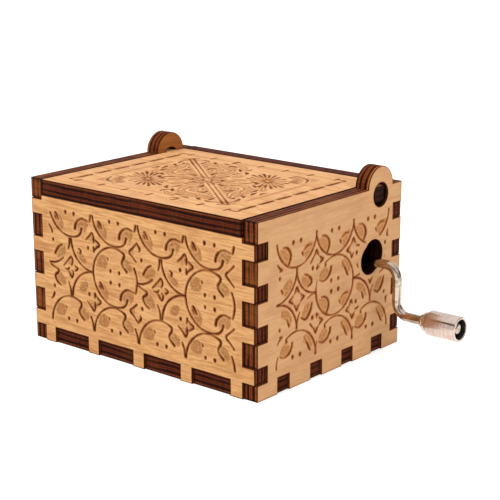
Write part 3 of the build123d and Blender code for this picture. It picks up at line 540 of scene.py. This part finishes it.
# one flank of the bar: mm along the bar from the middle, and out from it
lidFlank = {
    "fields": [
        [(2.0, 1.7), (5.2, 1.2), (9.0, 1.2), (12.6, 1.2), (17.6, 1.3), (19.4, 2.4), (16.6, 5.0), (13.6, 7.6),
         (10.4, 8.6), (6.4, 7.4), (3.2, 4.8)],
        [(9.0, 9.7), (12.0, 8.9), (14.2, 9.3), (12.8, 10.9), (10.0, 11.0)],
        [(0.8, 5.2), (2.6, 6.0), (3.4, 7.8), (1.8, 8.6), (0.5, 7.2)],
    ],
    "ribbons": [
        [(9.4, 10.5, 0.15), (11.2, 10.3, 0.3), (12.6, 9.7, 0.2)],
        [(18.4, 2.0, 0.2), (16.6, 2.9, 0.4), (15.6, 4.6, 0.3)],
        [(15.8, 1.9, 0.3), (13.4, 3.0, 0.45), (11.2, 5.2, 0.5), (9.0, 5.8, 0.5), (7.5, 4.4, 0.45),
         (8.3, 2.9, 0.4), (9.8, 3.2, 0.35)],
        [(3.4, 2.4, 0.25), (4.9, 3.4, 0.4), (5.6, 5.2, 0.4), (7.4, 6.8, 0.35), (9.4, 7.4, 0.2)],
        [(14.6, 4.9, 0.2), (13.2, 5.4, 0.35), (12.4, 6.8, 0.3)],
    ],
    "strokes": [
        [(4.6, 1.7, 0.12), (6.0, 2.2, 0.38), (6.6, 3.2, 0.16)],
        [(10.8, 1.8, 0.16), (11.6, 2.6, 0.42), (10.9, 3.8, 0.14)],
        [(17.4, 1.2, 0.14), (18.2, 2.2, 0.38), (19.2, 2.6, 0.12)],
        [(16.6, 4.4, 0.12), (17.4, 4.8, 0.38), (18.6, 4.5, 0.12)],
        [(11.6, 8.8, 0.12), (12.8, 8.2, 0.4), (13.8, 7.2, 0.14)],
        [(7.0, 8.6, 0.12), (8.2, 8.9, 0.38), (9.6, 8.9, 0.12)],
        [(4.0, 6.2, 0.14), (5.0, 7.4, 0.38), (5.2, 8.8, 0.12)],
        [(2.0, 3.2, 0.12), (2.2, 4.6, 0.38), (3.2, 5.8, 0.12)],
        [(13.8, 2.0, 0.1), (14.2, 2.2, 0.18)], [(6.6, 5.0, 0.1), (6.4, 4.2, 0.2)],
        [(14.4, 8.2, 0.12), (15.4, 7.2, 0.42), (16.6, 6.6, 0.12)],
        [(8.2, 9.6, 0.12), (8.0, 10.8, 0.4), (8.8, 11.6, 0.12)],
        [(3.6, 9.2, 0.12), (5.0, 9.8, 0.4), (6.4, 9.6, 0.12)],
        [(19.2, 3.6, 0.12), (20.2, 3.2, 0.38), (21.2, 2.2, 0.12)],
        [(0.6, 4.2, 0.12), (1.2, 3.2, 0.34), (2.2, 2.8, 0.12)],
        [(15.2, 10.4, 0.12), (15.6, 9.2, 0.38), (16.6, 8.4, 0.12)],
    ],
}


def alongBar(band, along=1, across=1):
    # gives a function from mm along the bar and out from it to a point of the lid
    mx, my = band["middle"]
    fx, fy = band["frame"]
    d = Vector((fx, -fy)).normalized() * along
    n = Vector((fy, fx)).normalized() * across
    return lambda far, out, *width: (mx + d.x * far + n.x * out, my + d.y * far + n.y * out, *width)


def lidFlanks(drawing, band):
    # the same flank four times, mirrored along the bar and across it
    for along, across in ((-1, -1), (-1, 1), (1, -1), (1, 1)):
        spot = alongBar(band, along, across)
        for source, kind in (("fields", "leaves"), ("ribbons", "ribbons"), ("strokes", "strokes")):
            drawing[kind] += [[spot(*p) for p in shape] for shape in lidFlank[source]]


def lidPalmette(drawing, band, way):
    # seven leaves between a rosette and its corner, and seven towards the middle
    mx, my = band["middle"]
    fx, fy = band["frame"]
    corner = Vector((fx, fy)).normalized() * way
    side = Vector((-corner.y, corner.x))
    for spread in range(-3, 4):
        for start, length, width in ((math.hypot(fx, fy) - band["palmette"], 2.6, 0.28),
                                     (1.4, 2.4 - 0.3 * abs(spread), 0.24)):
            base = Vector((mx, my)) + corner * (start - 0.35 * abs(spread)) + side * spread * 0.75
            tip = base + corner * length + side * spread * 0.55
            belly = (base + tip) / 2
            drawing["strokes"].append([(p.x, p.y, w) for p, w in ((base, 0.12), (belly, width), (tip, 0.12))])


def lidDrawing(band):
    drawing = {"strokes": [], "leaves": [], "ribbons": []}
    mx, my = band["middle"]
    rx, ry = band["rosette"]
    far, start = math.hypot(*band["frame"]) * band["barReach"], band["barStart"]
    endReach, endWidth = band["barEnd"]
    lidBorder(drawing, band)
    lidFlanks(drawing, band)
    for way in (-1, 1):
        spot = alongBar(band, way)
        for shift in (-band["barGap"], band["barGap"]):
            drawing["strokes"].append([spot(max(start, far * share), shift, w)
                                       for share, w in band["barWidths"]])
        drawing["strokes"].append([spot(far, out, endWidth) for out in (-endReach, endReach)])
        lidRosette(drawing, mx + way * rx, my + way * ry, band)
        lidPalmette(drawing, band, way)
    drawing["strokes"].append(arc(mx, my, 1.1, 0, 360, 0.22, 0.22))
    return drawing


# Turning the drawing into grooves
def smoothPath(points, closed=False, step=0.3):
    # a Catmull-Rom line through the points, with their half widths carried along
    pts = np.array(points, float)
    if closed:
        ring = np.vstack([pts[-1], pts, pts[0], pts[1]])
    else:
        ring = np.vstack([2 * pts[0] - pts[1], pts, 2 * pts[-1] - pts[-2]])
    out = []
    for a, b, c, d in zip(ring, ring[1:], ring[2:], ring[3:]):
        count = max(1, int(np.hypot(*(c - b)[:2]) / step))
        t = (np.arange(count) / count)[:, None]
        out.append(0.5 * (2 * b + (c - a) * t + (2 * a - 5 * b + 4 * c - d) * t ** 2
                          + (3 * b - a - 3 * c + d) * t ** 3))
    last = out[0][:1] if closed else pts[-1:]
    return np.vstack(out + [last])


def nearest(u, v, path, farOff=9.0):
    # distance from each place to the path, less the half width there
    best = np.full(u.shape, farOff)
    for p, q in zip(path, path[1:]):
        dx, dy = q[0] - p[0], q[1] - p[1]
        t = np.clip(((u - p[0]) * dx + (v - p[1]) * dy) / max(dx * dx + dy * dy, 1e-9), 0, 1)
        width = p[2] + (q[2] - p[2]) * t if len(p) > 2 else 0.0
        best = np.minimum(best, np.hypot(u - p[0] - dx * t, v - p[1] - dy * t) - width)
    return best


def insideOf(u, v, path):
    odd = np.zeros(u.shape, bool)
    for p, q in zip(path, path[1:]):
        crosses = (p[1] > v) != (q[1] > v)
        slope = (q[0] - p[0]) / (q[1] - p[1] if abs(q[1] - p[1]) > 1e-9 else 1e-9)
        odd ^= crosses & (u < p[0] + (v - p[1]) * slope)
    return odd


def drawingFields(u, v, drawing, cut):
    # mm from each place to the nearest groove and to the nearest leaf, below 0 inside it
    line, patch = np.full(u.shape, cut["plain"]), np.full(u.shape, cut["plain"])
    for kind, field in (("strokes", line), ("leaves", patch)):
        for shape in drawing[kind]:
            if kind == "leaves" and len(shape) <= 4:
                path = np.array(shape + shape[:1], float)     # wedges and blocks keep their corners
            else:
                path = smoothPath(shape, kind == "leaves")
            low, high = path[:, :2].min(0) - cut["reach"], path[:, :2].max(0) + cut["reach"]
            near = np.nonzero((u > low[0]) & (u < high[0]) & (v > low[1]) & (v < high[1]))[0]
            if len(near):
                found = nearest(u[near], v[near], path)
                if kind == "leaves":
                    found = np.where(insideOf(u[near], v[near], path), -found, found)
                field[near] = np.minimum(field[near], found)
    # a ribbon is left standing: no raster under it, and a thin cut down each side
    ribbonEdge, ribbonCut = cut["ribbon"]
    for ribbon in drawing.get("ribbons", ()):
        found = nearest(u, v, smoothPath(ribbon))
        patch = np.maximum(patch, np.minimum(-found, cut["plain"]))
        line = np.where(found < -ribbonEdge, np.maximum(line, -found),
                        np.minimum(line, np.abs(found) - ribbonCut))
    return line, patch


def softStep(x):
    t = np.clip(x, 0, 1)
    return t * t * (3 - 2 * t)


# Plywood panels, in mm
panelCut = {
    "thickness": sheetThickness, "cornerWear": 0.07,
    "rim": 0.46, "edgeRim": 0.42,              # rings of faces round the broad faces and round each cut face
    "broadFace": 0.42,                         # area over outline of the smallest cut face that gets a ring
    # the rim is coloured as if this far inside a groove, and bare wood as if this far from one
    "burn": 0.2, "plain": 0.75,
    "reach": 1.0,                              # how far round each stroke its distance is worked out
    "ribbon": (0.12, 0.1),                     # where its bare middle starts; half width of its cuts
    "cell": 0.17, "fade": 0.3,                 # the fine mesh's cells; how far the drawing takes to fade out
    "holeGap": 0.62,                           # between a hole's wall and the fine mesh
    "grooveDepth": 0.13, "grooveWall": (0.06, 0.22),
    "patchDepth": 0.05, "patchWall": (0.05, 0.16),    # walls: where they start, how wide they are
    "boreMargin": 0.12,                        # a wall this far outside a hole's radius is still its own
    "foldAngle": 0.9,                          # radians; sharper edges are worn round
}
crankHole = ((14.4, 22.3, 3.5), (13.2, 21.5, 3.3))    # across, up, radius on the right end


def inRound(face, u, v, rounds, margin):
    # is the face's middle in one of the round places, each given as across, up and radius
    middle = face.calc_center_median() / mm
    return any(math.hypot(middle.dot(u) - a, middle.dot(v) - b) < r + margin for a, b, r in rounds)


def panelShape(name, n, u, v, cut, window, holes, bores):
    # the CAD panel's own outline, with worn corners and a fine mesh where the laser has been
    bm = bmesh.new()
    bm.from_mesh(nodes[name].data)
    bmesh.ops.remove_doubles(bm, verts=bm.verts, dist=1e-6)
    bmesh.ops.dissolve_limit(bm, angle_limit=0.01, verts=bm.verts, edges=bm.edges)
    outer = max(p.co.dot(n) for p in bm.verts)
    inner = outer - cut["thickness"] * mm
    sharp = [e for e in bm.edges if e.is_manifold and e.calc_face_angle() > cut["foldAngle"]]
    bmesh.ops.bevel(bm, geom=sharp, offset=cut["cornerWear"] * mm, segments=2, affect="EDGES", profile=0.5,
                    material=-1, clamp_overlap=True, offset_type="OFFSET")
    bm.normal_update()
    clean = bm.verts.layers.float.new("clean")
    outline = bm.verts.layers.float.new("outline")
    # the cut face of each finger gets a narrow rim of its own, darker: burnt, and painted shade of the kerf
    # it sits in
    broad = [f for f in bm.faces if abs(f.normal.dot(n)) < 0.1 and len(f.verts) > 3
             and f.calc_area() / f.calc_perimeter() > cut["broadFace"] * mm]
    made = bmesh.ops.inset_individual(bm, faces=broad, thickness=cut["edgeRim"] * mm, use_even_offset=True)
    inside = {p for f in broad for p in f.verts}
    for p in {p for f in made["faces"] for p in f.verts} - inside:
        p[outline] = 1.0
    for level, sign in ((outer, 1), (inner, -1)):
        flat = [f for f in bm.faces if f.normal.dot(n) * sign > 0.99
                and abs(f.calc_center_median().dot(n) - level) < 1e-5]
        bmesh.ops.inset_region(bm, faces=flat, thickness=cut["rim"] * mm, use_even_offset=True,
                               use_boundary=True)
        for p in {p for f in flat for p in f.verts}:
            p[clean] = 1.0
        if sign > 0 and window:
            bmesh.ops.delete(bm, geom=flat, context="FACES")
    if window:
        rims = [e for e in bm.edges if e.is_boundary]
        (u0, v0), (u1, v1) = window
        middle = (u * (u0 + u1) + v * (v0 + v1)) * 0.5 * mm + n * outer
        across, up = u * (u1 - u0) * mm, v * (v1 - v0) * mm
        place = Matrix([(across[i], up[i], n[i], middle[i]) for i in range(3)] + [(0, 0, 0, 1)])
        made = bmesh.ops.create_grid(bm, x_segments=round((u1 - u0) / cut["cell"]),
                                     y_segments=round((v1 - v0) / cut["cell"]), size=0.5, matrix=place)
        cells = {f for p in made["verts"] for f in p.link_faces}
        gone = [f for f in cells if inRound(f, u, v, holes, cut["holeGap"])]
        bmesh.ops.delete(bm, geom=gone, context="FACES")
        fine = [f for f in cells if f.is_valid]
        for f in fine:
            f.smooth = True
        loops = rims + [e for f in fine for e in f.edges if e.is_boundary]
        bmesh.ops.triangle_fill(bm, use_beauty=True, use_dissolve=False, edges=loops, normal=n)
    bmesh.ops.recalc_face_normals(bm, faces=bm.faces)
    for f in bm.faces:
        f.material_index = 0 if f.normal.dot(n) > 0.9 else 2 if f.normal.dot(n) < -0.9 else 1
        # the walls of the round holes take the fourth finish, darkened with painted shade
        if f.material_index == 1 and inRound(f, u, v, (*holes, *bores), cut["boreMargin"]):
            f.material_index = 3
    leaks = [e for e in bm.edges if not e.is_manifold]
    if leaks:
        print("warning:", name, "has", len(leaks), "open edges")
    mesh = bpy.data.meshes.new(name + "Carved")
    bm.to_mesh(mesh)
    bm.free()
    return mesh, outer


def engrave(mesh, outer, n, u, v, cut, drawing, window, holes, start):
    # sinks the drawing into the fine mesh, and leaves the materials their place and distances, in mm
    count = len(mesh.vertices)
    co, isClean = np.empty(count * 3), np.empty(count)
    mesh.vertices.foreach_get("co", co)
    mesh.attributes["clean"].data.foreach_get("value", isClean)
    co = co.reshape(-1, 3)
    across, up = co @ np.array(u) / mm, co @ np.array(v) / mm
    depth = (outer - co @ np.array(n)) / mm
    line, patch = isClean * (cut["plain"] + cut["burn"]) - cut["burn"], np.full(count, cut["plain"])
    if window:
        (u0, v0), (u1, v1) = window
        # how far inside the window each vertex is: the drawing stops short of the fine mesh's own border
        away = np.minimum.reduce([across - u0, u1 - across, up - v0, v1 - up])
        here = np.nonzero((depth < 0.001) & (away > -1e-4) & (isClean < 0.5))[0]
        away = away[here]
        lines, patches = drawingFields(across[here], up[here], drawing, cut)
        for a, b, r in holes:
            away = np.minimum(away, np.hypot(across[here] - a, up[here] - b) - r - cut["holeGap"])
        keep = softStep(away / cut["fade"])
        line[here] = cut["plain"] + (lines - cut["plain"]) * keep
        patch[here] = cut["plain"] + (patches - cut["plain"]) * keep
        cutIn = np.zeros(len(here))
        for field, sunk, (top, wall) in ((lines, cut["grooveDepth"], cut["grooveWall"]),
                                         (patches, cut["patchDepth"], cut["patchWall"])):
            cutIn += sunk * softStep((top - field) / wall)
        co[here] -= np.outer(np.minimum(cutIn, cut["grooveDepth"]) * keep * mm, np.array(n))
        mesh.vertices.foreach_set("co", co.ravel())
    grain = np.stack([across + start[0], up + start[1], depth], 1)
    fields = (("place", "FLOAT_VECTOR", grain), ("line", "FLOAT", line), ("patch", "FLOAT", patch))
    for key, kind, values in fields:
        layer = mesh.attributes.new(key, kind, "POINT")
        layer.data.foreach_set("vector" if key == "place" else "value", values.astype(np.float32).ravel())
    mesh.attributes.remove(mesh.attributes["clean"])
    mesh.update()


def plywoodPanel(name, body, outward, right, drawing, window, veneer, edge, holes=(), bores=(), start=(0, 0)):
    # outward and right are the face's own directions; start moves the grain, so that no two panels share it
    n, u = Vector(outward), Vector(right)
    v = n.cross(u)
    mesh, outer = panelShape(name, n, u, v, panelCut, window, holes, bores)
    engrave(mesh, outer, n, u, v, panelCut, drawing, window, holes, start)
    for finish in (veneer, edge, smokedVeneer, charredShadedBore):
        mesh.materials.append(finish)
    panel = bpy.data.objects.new(name + "_carved", mesh)
    bpy.context.scene.collection.objects.link(panel)
    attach(panel, body)
    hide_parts(name)
    print("stage:", name, len(mesh.polygons), "faces")


longArt = bandDrawing(longMotifs, longBand)
shortArt = bandDrawing(shortMotifs, shortBand)
shortArtMirrored = bandDrawing(shortMotifs, shortBand, True)
longWindow = ((-28.0, 4.8), (28.0, 32.3))             # lower left and upper right of the engraved field

plywoodPanel("front_panel", "case", (0, -1, 0), (1, 0, 0), longArt, longWindow, birchVeneer, cutEdge)
plywoodPanel("back_panel", "case", (0, 1, 0), (-1, 0, 0), longArt, longWindow, birchVeneer, cutEdge,
             start=(90, 40))
plywoodPanel("right_end_panel", "case", (1, 0, 0), (0, 1, 0), shortArt, ((-19.6, 4.9), (20.8, 32.05)),
             endVeneer, paleEdge, holes=crankHole, bores=((16.7, 35.25, 2.65),), start=(170, 80))
plywoodPanel("left_end_panel", "case", (-1, 0, 0), (0, -1, 0), shortArtMirrored,
             ((-20.8, 4.9), (19.6, 32.05)), endVeneer, paleEdge, bores=((-16.7, 35.25, 2.65),),
             start=(260, 120))
plywoodPanel("bottom_panel", "case", (0, 0, -1), (1, 0, 0), None, None, birchVeneer, deepEdge,
             start=(340, 10))
plywoodPanel("lid_panel", "lid", (0, 0, 1), (1, 0, 0), lidDrawing(lidBand), ((-25.4, -22.4), (25.4, 18.4)),
             lidVeneer, deepEdge, bores=((32.5, 16.7, 3.0), (-32.5, 16.7, 3.0)), start=(430, 60))


# Metals of the movement and the crank
# bright and dull are the metal itself, spread by the patches that handling and plating leave, and on the bent
# wire also painted shade in its reflections; grain is the size in mm of its surface marks along X, Y and Z,
# and relief their depth in mm.
metalLooks = {
    # barrel plated nickel over bent wire: bright, slightly warm, with faint dull patches; both tones are set
    # darker than the plating's own, as painted shade in its reflections
    "nickel_plate": {"name": "brightNickelPlate", "bright": "#C9B8A8", "dull": "#9F8E7D",
                     "rough": (0.07, 0.15), "grain": (2.4, 0.7, 0.7), "relief": 0.002},
    # the same plating over a turned knob: rings too fine to see draw the reflections out along it
    "turned_nickel": {"name": "turnedNickelPlate", "bright": "#DCC8BC", "dull": "#C9B5A8",
                      "rough": (0.2, 0.27), "grain": (0.3, 5.0, 5.0), "relief": 0.0002, "drawnOut": 0.9},
    # pressure die cast bedplate, tumbled: soft grey, fine pitted skin
    "die_cast_zinc": {"name": "tumbledCastZinc", "bright": "#BCBEBF", "dull": "#8D9092",
                      "rough": (0.38, 0.55), "grain": (0.35, 0.35, 0.35), "relief": 0.03},
    # clear zinc passivate on steel screws: cool, a touch yellow where it is thick
    "zinc_plated_steel": {"name": "zincPassivatedSteel", "bright": "#CBCED2", "dull": "#AFA98F",
                          "rough": (0.24, 0.38), "grain": (0.5, 0.5, 0.5), "relief": 0.006},
    # chemically blackened spring clips: dark, satin, worn paler
    "blackened_steel": {"name": "blackOxideSteel", "bright": "#4A4846", "dull": "#232221",
                        "rough": (0.35, 0.55), "grain": (0.4, 0.4, 0.4), "relief": 0.008},
    # cold rolled strip pressed into brackets: drawn lines along the strip
    "pressed_steel": {"name": "coldRolledSteel", "bright": "#C3C5C7", "dull": "#9EA1A4",
                      "rough": (0.28, 0.42), "grain": (0.16, 0.16, 3.0), "relief": 0.006},
    # hardened comb steel, ground flat: darker, blue grey, ground across the teeth
    "spring_steel": {"name": "groundCombSteel", "bright": "#9AA1A9", "dull": "#6A7078",
                     "rough": (0.2, 0.34), "grain": (0.12, 2.5, 2.5), "relief": 0.004},
    # centreless ground rod: fine rings round the shaft
    "ground_steel": {"name": "groundRodSteel", "bright": "#CDD0D3", "dull": "#A5A9AE",
                     "rough": (0.16, 0.28), "grain": (0.12, 1.5, 1.5), "relief": 0.003},
    # cast lead slugs under the long teeth: dull grey oxide
    "lead": {"name": "oxidisedLead", "bright": "#777A7E", "dull": "#4F5256",
             "rough": (0.5, 0.68), "grain": (0.3, 0.3, 0.3), "relief": 0.02},
    # drawn brass tube and turned brass: yellow, lightly tarnished
    "brass": {"name": "drawnBrass", "bright": "#DDBA63", "dull": "#BC9546",
              "rough": (0.18, 0.3), "grain": (0.6, 2.0, 0.6), "relief": 0.0015},
}


def metalMaterial(look):
    mat = blankMaterial(look["name"])
    spot = addNode(mat, "ShaderNodeTexCoord", (), "Object")
    grainScale = [1 / (size * mm) for size in look["grain"]]
    hazeScale = [0.3 / mm] * 3                 # dull patches are 3 mm or so across
    place = addNode(mat, "ShaderNodeMapping", {"Vector": spot, "Scale": grainScale}, 0)
    marks = addNode(mat, "ShaderNodeTexNoise", {"Vector": place, "Scale": 1.0, "Detail": 3.0}, "Fac")
    place = addNode(mat, "ShaderNodeMapping", {"Vector": spot, "Scale": hazeScale}, 0)
    haze = addNode(mat, "ShaderNodeTexNoise", {"Vector": place, "Scale": 1.0, "Detail": 2.0}, "Fac")
    both = addNode(mat, "ShaderNodeMath", [haze, marks], 0, operation="ADD")
    share = addNode(mat, "ShaderNodeMapRange", [both, 0.85, 1.2], 0, **smooth)
    tone = addNode(mat, "ShaderNodeMix", {0: share, 6: hexColour(look["bright"]),
                                          7: hexColour(look["dull"])}, 2, **colours)
    rough = addNode(mat, "ShaderNodeMapRange", [both, 0.8, 1.2, *look["rough"]], 0, **smooth)
    bump = addNode(mat, "ShaderNodeBump", {"Height": marks, "Strength": 0.6,
                                           "Distance": look["relief"] * mm}, 0)
    inputs = {"Base Color": tone, "Metallic": 1.0, "Roughness": rough, "Normal": bump}
    if "drawnOut" in look:
        # the tangent runs round the X axis; a quarter turn lays the long blur along it
        ringWise = addNode(mat, "ShaderNodeTangent", (), 0, direction_type="RADIAL", axis="X")
        inputs.update({"Anisotropic": look["drawnOut"], "Anisotropic Rotation": 0.25, "Tangent": ringWise})
    return finishMaterial(mat, inputs)


metals = {slot: metalMaterial(look) for slot, look in metalLooks.items()}
for name, node in nodes.items():
    for holder in node.material_slots:
        if holder.material and holder.material.name.split(".")[0] in metals:
            holder.material = metals[holder.material.name.split(".")[0]]
print("stage: metals on", len(nodes), "nodes")


# Crank wire, collar and knob, smooth where the CAD is faceted; in mm
crankCut = {
    "axis": (13.6, 21.1), "throw": 10.6, "start": 23.4, "arm": 39.4, "bend": 2.9, "wire": 1.0,
    "wireSides": 40, "bendSteps": 14, "collarSides": 48, "knobSides": 72, "foldAngle": 50,
    # the rivet head's start, end and radius; its dome as mm back from the end and share of the radius
    "rivet": (53.65, 55.0, 1.25),
    "dome": ((0.45, 1.0), (0.2, 0.93), (0.07, 0.75), (0.01, 0.45), (0.0, 0.096)),
    # x and radius round the closed profile
    "collar": ((45.95, 1.05), (45.95, 1.38), (46.02, 1.45), (46.68, 1.45), (46.75, 1.38), (46.75, 1.05)),
    "knob": ((46.9, 1.1), (46.9, 1.95), (46.96, 2.09), (47.1, 2.15), (47.52, 2.15), (47.66, 2.2),
             (47.98, 2.5), (48.1, 2.62), (48.3, 2.7), (55.15, 2.7), (55.33, 2.63), (55.4, 2.45), (55.4, 2.22),
             (55.33, 2.15), (53.62, 2.15), (53.5, 2.03), (53.5, 1.1)),
    "knobHollowShade": (53.45, 2.16),               # painted shade: black from this x on, inside this radius, in the narrow hollow round the rivet head
}
knobHeight = crankCut["axis"][1] - crankCut["throw"]


def nickelPiece(name, bm, body, finish, shadedHollow, node):
    bmesh.ops.remove_doubles(bm, verts=bm.verts, dist=1e-7)
    bmesh.ops.recalc_face_normals(bm, faces=bm.faces)
    for f in bm.faces:
        f.smooth = True
        middle = f.calc_center_median() / mm
        fromAxis = math.hypot(middle.y - crankCut["axis"][0], middle.z - knobHeight)
        # faces deep in the knob's hollow take the black second finish as painted shade
        if shadedHollow and middle.x > shadedHollow[0] and fromAxis < shadedHollow[1]:
            f.material_index = 1
    mesh = bpy.data.meshes.new(name)
    bm.to_mesh(mesh)
    bm.free()
    mesh.set_sharp_from_angle(angle=math.radians(crankCut["foldAngle"]))
    mesh.materials.append(metals[finish])
    mesh.materials.append(metals["blackened_steel"])
    piece = bpy.data.objects.new(name, mesh)
    bpy.context.scene.collection.objects.link(piece)
    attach(piece, body)
    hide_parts(node)


def turned(profile, sides):
    # a closed profile spun round the knob's own axis, which lies along X
    across = crankCut["axis"][0]
    bm = bmesh.new()
    corners = [bm.verts.new((x * mm, across * mm, (knobHeight + r) * mm)) for x, r in profile]
    rim = [bm.edges.new((a, b)) for a, b in zip(corners, corners[1:] + corners[:1])]
    bmesh.ops.spin(bm, geom=corners + rim, cent=Vector((0, across, knobHeight)) * mm, axis=(1, 0, 0),
                   dvec=(0, 0, 0), angle=2 * math.pi, steps=sides, use_merge=True, use_duplicate=False)
    return bm


def bentWire(cut):
    # a round section drawn along the shaft, round the two bends and on through the knob to its rivet head
    y, z = cut["axis"]
    low = z - cut["throw"]
    bend = cut["bend"]
    bm = bmesh.new()
    place = Matrix.Translation(Vector((cut["start"], y, z)) * mm) @ Matrix.Rotation(math.pi / 2, 4, "Y")
    bmesh.ops.create_circle(bm, cap_ends=True, segments=cut["wireSides"], radius=cut["wire"] * mm,
                            matrix=place)
    ring = list(bm.edges)

    def draw(step=(0, 0, 0), size=1.0, middle=None):
        nonlocal ring
        out = bmesh.ops.extrude_edge_only(bm, edges=ring)["geom"]
        verts = [g for g in out if isinstance(g, bmesh.types.BMVert)]
        bmesh.ops.translate(bm, verts=verts, vec=Vector(step) * mm)
        if middle:
            home = Matrix.Translation(-Vector(middle) * mm)
            bmesh.ops.scale(bm, verts=verts, vec=(1, size, size), space=home)
        ring = [g for g in out if isinstance(g, bmesh.types.BMEdge) and all(p in verts for p in g.verts)]

    def turn(centre, angle):
        nonlocal ring
        geom = list({p for e in ring for p in e.verts}) + ring
        out = bmesh.ops.spin(bm, geom=geom, cent=Vector(centre) * mm, axis=(0, 1, 0), dvec=(0, 0, 0),
                             angle=angle, steps=cut["bendSteps"], use_merge=False, use_duplicate=False)
        ring = [g for g in out["geom_last"] if isinstance(g, bmesh.types.BMEdge)]

    draw((cut["arm"] - bend - cut["start"], 0, 0))
    turn((cut["arm"] - bend, y, z - bend), math.pi / 2)
    draw((0, 0, low + bend - (z - bend)))
    turn((cut["arm"] + bend, y, low + bend), -math.pi / 2)
    rivetStart, rivetEnd, rivetRadius = cut["rivet"]
    draw((rivetStart - cut["arm"] - bend, 0, 0))
    # flat underside, straight flank, then the dome
    at, radius = rivetStart, cut["wire"]
    head = [(rivetStart, rivetRadius)]
    head += [(rivetEnd - back, rivetRadius * share) for back, share in cut["dome"]]
    for x, r in head:
        draw((x - at, 0, 0), r / radius, (x, y, low))
        at, radius = x, r
    bmesh.ops.contextual_create(bm, geom=ring)
    return bm


nickelPiece("bent_crank_wire", bentWire(crankCut), "crank", "nickel_plate", None, "crank_wire")
nickelPiece("pressed_collar", turned(crankCut["collar"], crankCut["collarSides"]), "crank",
            "nickel_plate", None, "knob_collar")
nickelPiece("turned_knob", turned(crankCut["knob"], crankCut["knobSides"]), "knob", "turned_nickel",
            crankCut["knobHollowShade"], "crank_knob")
print("stage: crank made")


# Floor, world and lamps
studio = {
    "floorColour": "#E6E6E6", "floorLift": 0.5, "floorSize": 4.0, "floorDrop": 0.05, "ambient": 0.55,
    # what only the polished metal sees: a dark gap between the lights, parallel to the crank,
    # given by the plane it lies in, and the dim end of the room on the right
    "gap": {"plane": (0.126, 0.674, 0.729), "edge": (0.16, 0.09), "level": 0.0},
    "dim": {"toward": (0.75, 0.6, 0.25), "edge": (0.72, 0.97), "level": 0.25},
    # lamps: metres and watts
    "aim": (0, 0, 0.02),
    "lamps": {"keyLamp": {"at": (-0.35, -0.75, 0.7), "size": 0.7, "power": 6.0},
              "fillLamp": {"at": (0.85, -0.3, 0.45), "size": 0.6, "power": 4.0},
              "topLamp": {"at": (0.05, 0.2, 0.95), "size": 0.8, "power": 2.5}},
}


def makeFloor():
    # white to the eye and to the metal, yet it still takes the box's soft shadow
    mesh = bpy.data.meshes.new("studioFloor")
    bm = bmesh.new()
    bmesh.ops.create_grid(bm, x_segments=1, y_segments=1, size=studio["floorSize"],
                          matrix=Matrix.Translation((0, 0, -studio["floorDrop"] * mm)))
    bm.to_mesh(mesh)
    bm.free()
    mat = blankMaterial("whitePaperSweep")
    path = addNode(mat, "ShaderNodeLightPath")
    seen = addNode(mat, "ShaderNodeMath", [path.outputs["Is Camera Ray"], path.outputs["Is Glossy Ray"]], 0,
                   operation="MAXIMUM")
    seen = addNode(mat, "ShaderNodeMath", [seen, path.outputs["Is Transmission Ray"]], 0, operation="MAXIMUM")
    lift = addNode(mat, "ShaderNodeMath", [seen, studio["floorLift"]], 0, operation="MULTIPLY")
    paper = addNode(mat, "ShaderNodeBsdfDiffuse", {"Color": hexColour(studio["floorColour"])}, 0)
    glow = addNode(mat, "ShaderNodeEmission", {"Color": (1, 1, 1, 1), "Strength": lift}, 0)
    both = addNode(mat, "ShaderNodeAddShader", [paper, glow], 0)
    addNode(mat, "ShaderNodeOutputMaterial", {"Surface": both})
    mesh.materials.append(mat)
    floor = bpy.data.objects.new("studioFloor", mesh)
    bpy.context.scene.collection.objects.link(floor)


def makeWorld():
    world = bpy.data.worlds.new("studioWorld")
    bpy.context.scene.world = world
    world.use_nodes = True
    world.node_tree.nodes.clear()
    path = addNode(world, "ShaderNodeLightPath")
    # the metal sees a white room with a dark gap in it and a dim end
    way = addNode(world, "ShaderNodeTexCoord", (), "Generated")
    gap, dim = studio["gap"], studio["dim"]
    off = addNode(world, "ShaderNodeVectorMath", [way, gap["plane"]], "Value", operation="DOT_PRODUCT")
    off = addNode(world, "ShaderNodeMath", [off], 0, operation="ABSOLUTE")
    dark = addNode(world, "ShaderNodeMapRange", [off, *gap["edge"], 1.0, gap["level"]], 0, **smooth)
    near = addNode(world, "ShaderNodeVectorMath", [way, dim["toward"]], "Value", operation="DOT_PRODUCT")
    low = addNode(world, "ShaderNodeMapRange", [near, *dim["edge"], 1.0, dim["level"]], 0, **smooth)
    mirrored = addNode(world, "ShaderNodeMath", [dark, low], 0, operation="MULTIPLY")
    plain = [path.outputs["Is Camera Ray"], path.outputs["Is Transmission Ray"]]
    seen = addNode(world, "ShaderNodeMath", plain, 0, operation="MAXIMUM")
    strength = addNode(world, "ShaderNodeMapRange", [seen, 0.0, 1.0, studio["ambient"], 1.0], 0)
    glossy = path.outputs["Is Glossy Ray"]
    strength = addNode(world, "ShaderNodeMix", {0: glossy, 2: strength, 3: mirrored}, 0)
    sky = addNode(world, "ShaderNodeBackground", {"Color": (1, 1, 1, 1), "Strength": strength}, 0)
    addNode(world, "ShaderNodeOutputWorld", {"Surface": sky})


def makeLamp(name, setup):
    data = bpy.data.lights.new(name, "AREA")
    data.shape, data.size, data.energy = "SQUARE", setup["size"], setup["power"]
    lamp = bpy.data.objects.new(name, data)
    lamp.location = setup["at"]
    lamp.visible_glossy = False    # the metal sees the white room and the box, not the lamps' squares
    away = Vector(setup["at"]) - Vector(studio["aim"])
    lamp.rotation_euler = away.to_track_quat("Z", "Y").to_euler()
    bpy.context.scene.collection.objects.link(lamp)


makeFloor()
makeWorld()
for lampName, lampSetup in studio["lamps"].items():
    makeLamp(lampName, lampSetup)
bpy.context.scene.view_settings.view_transform = "Standard"
print("stage: studio ready")
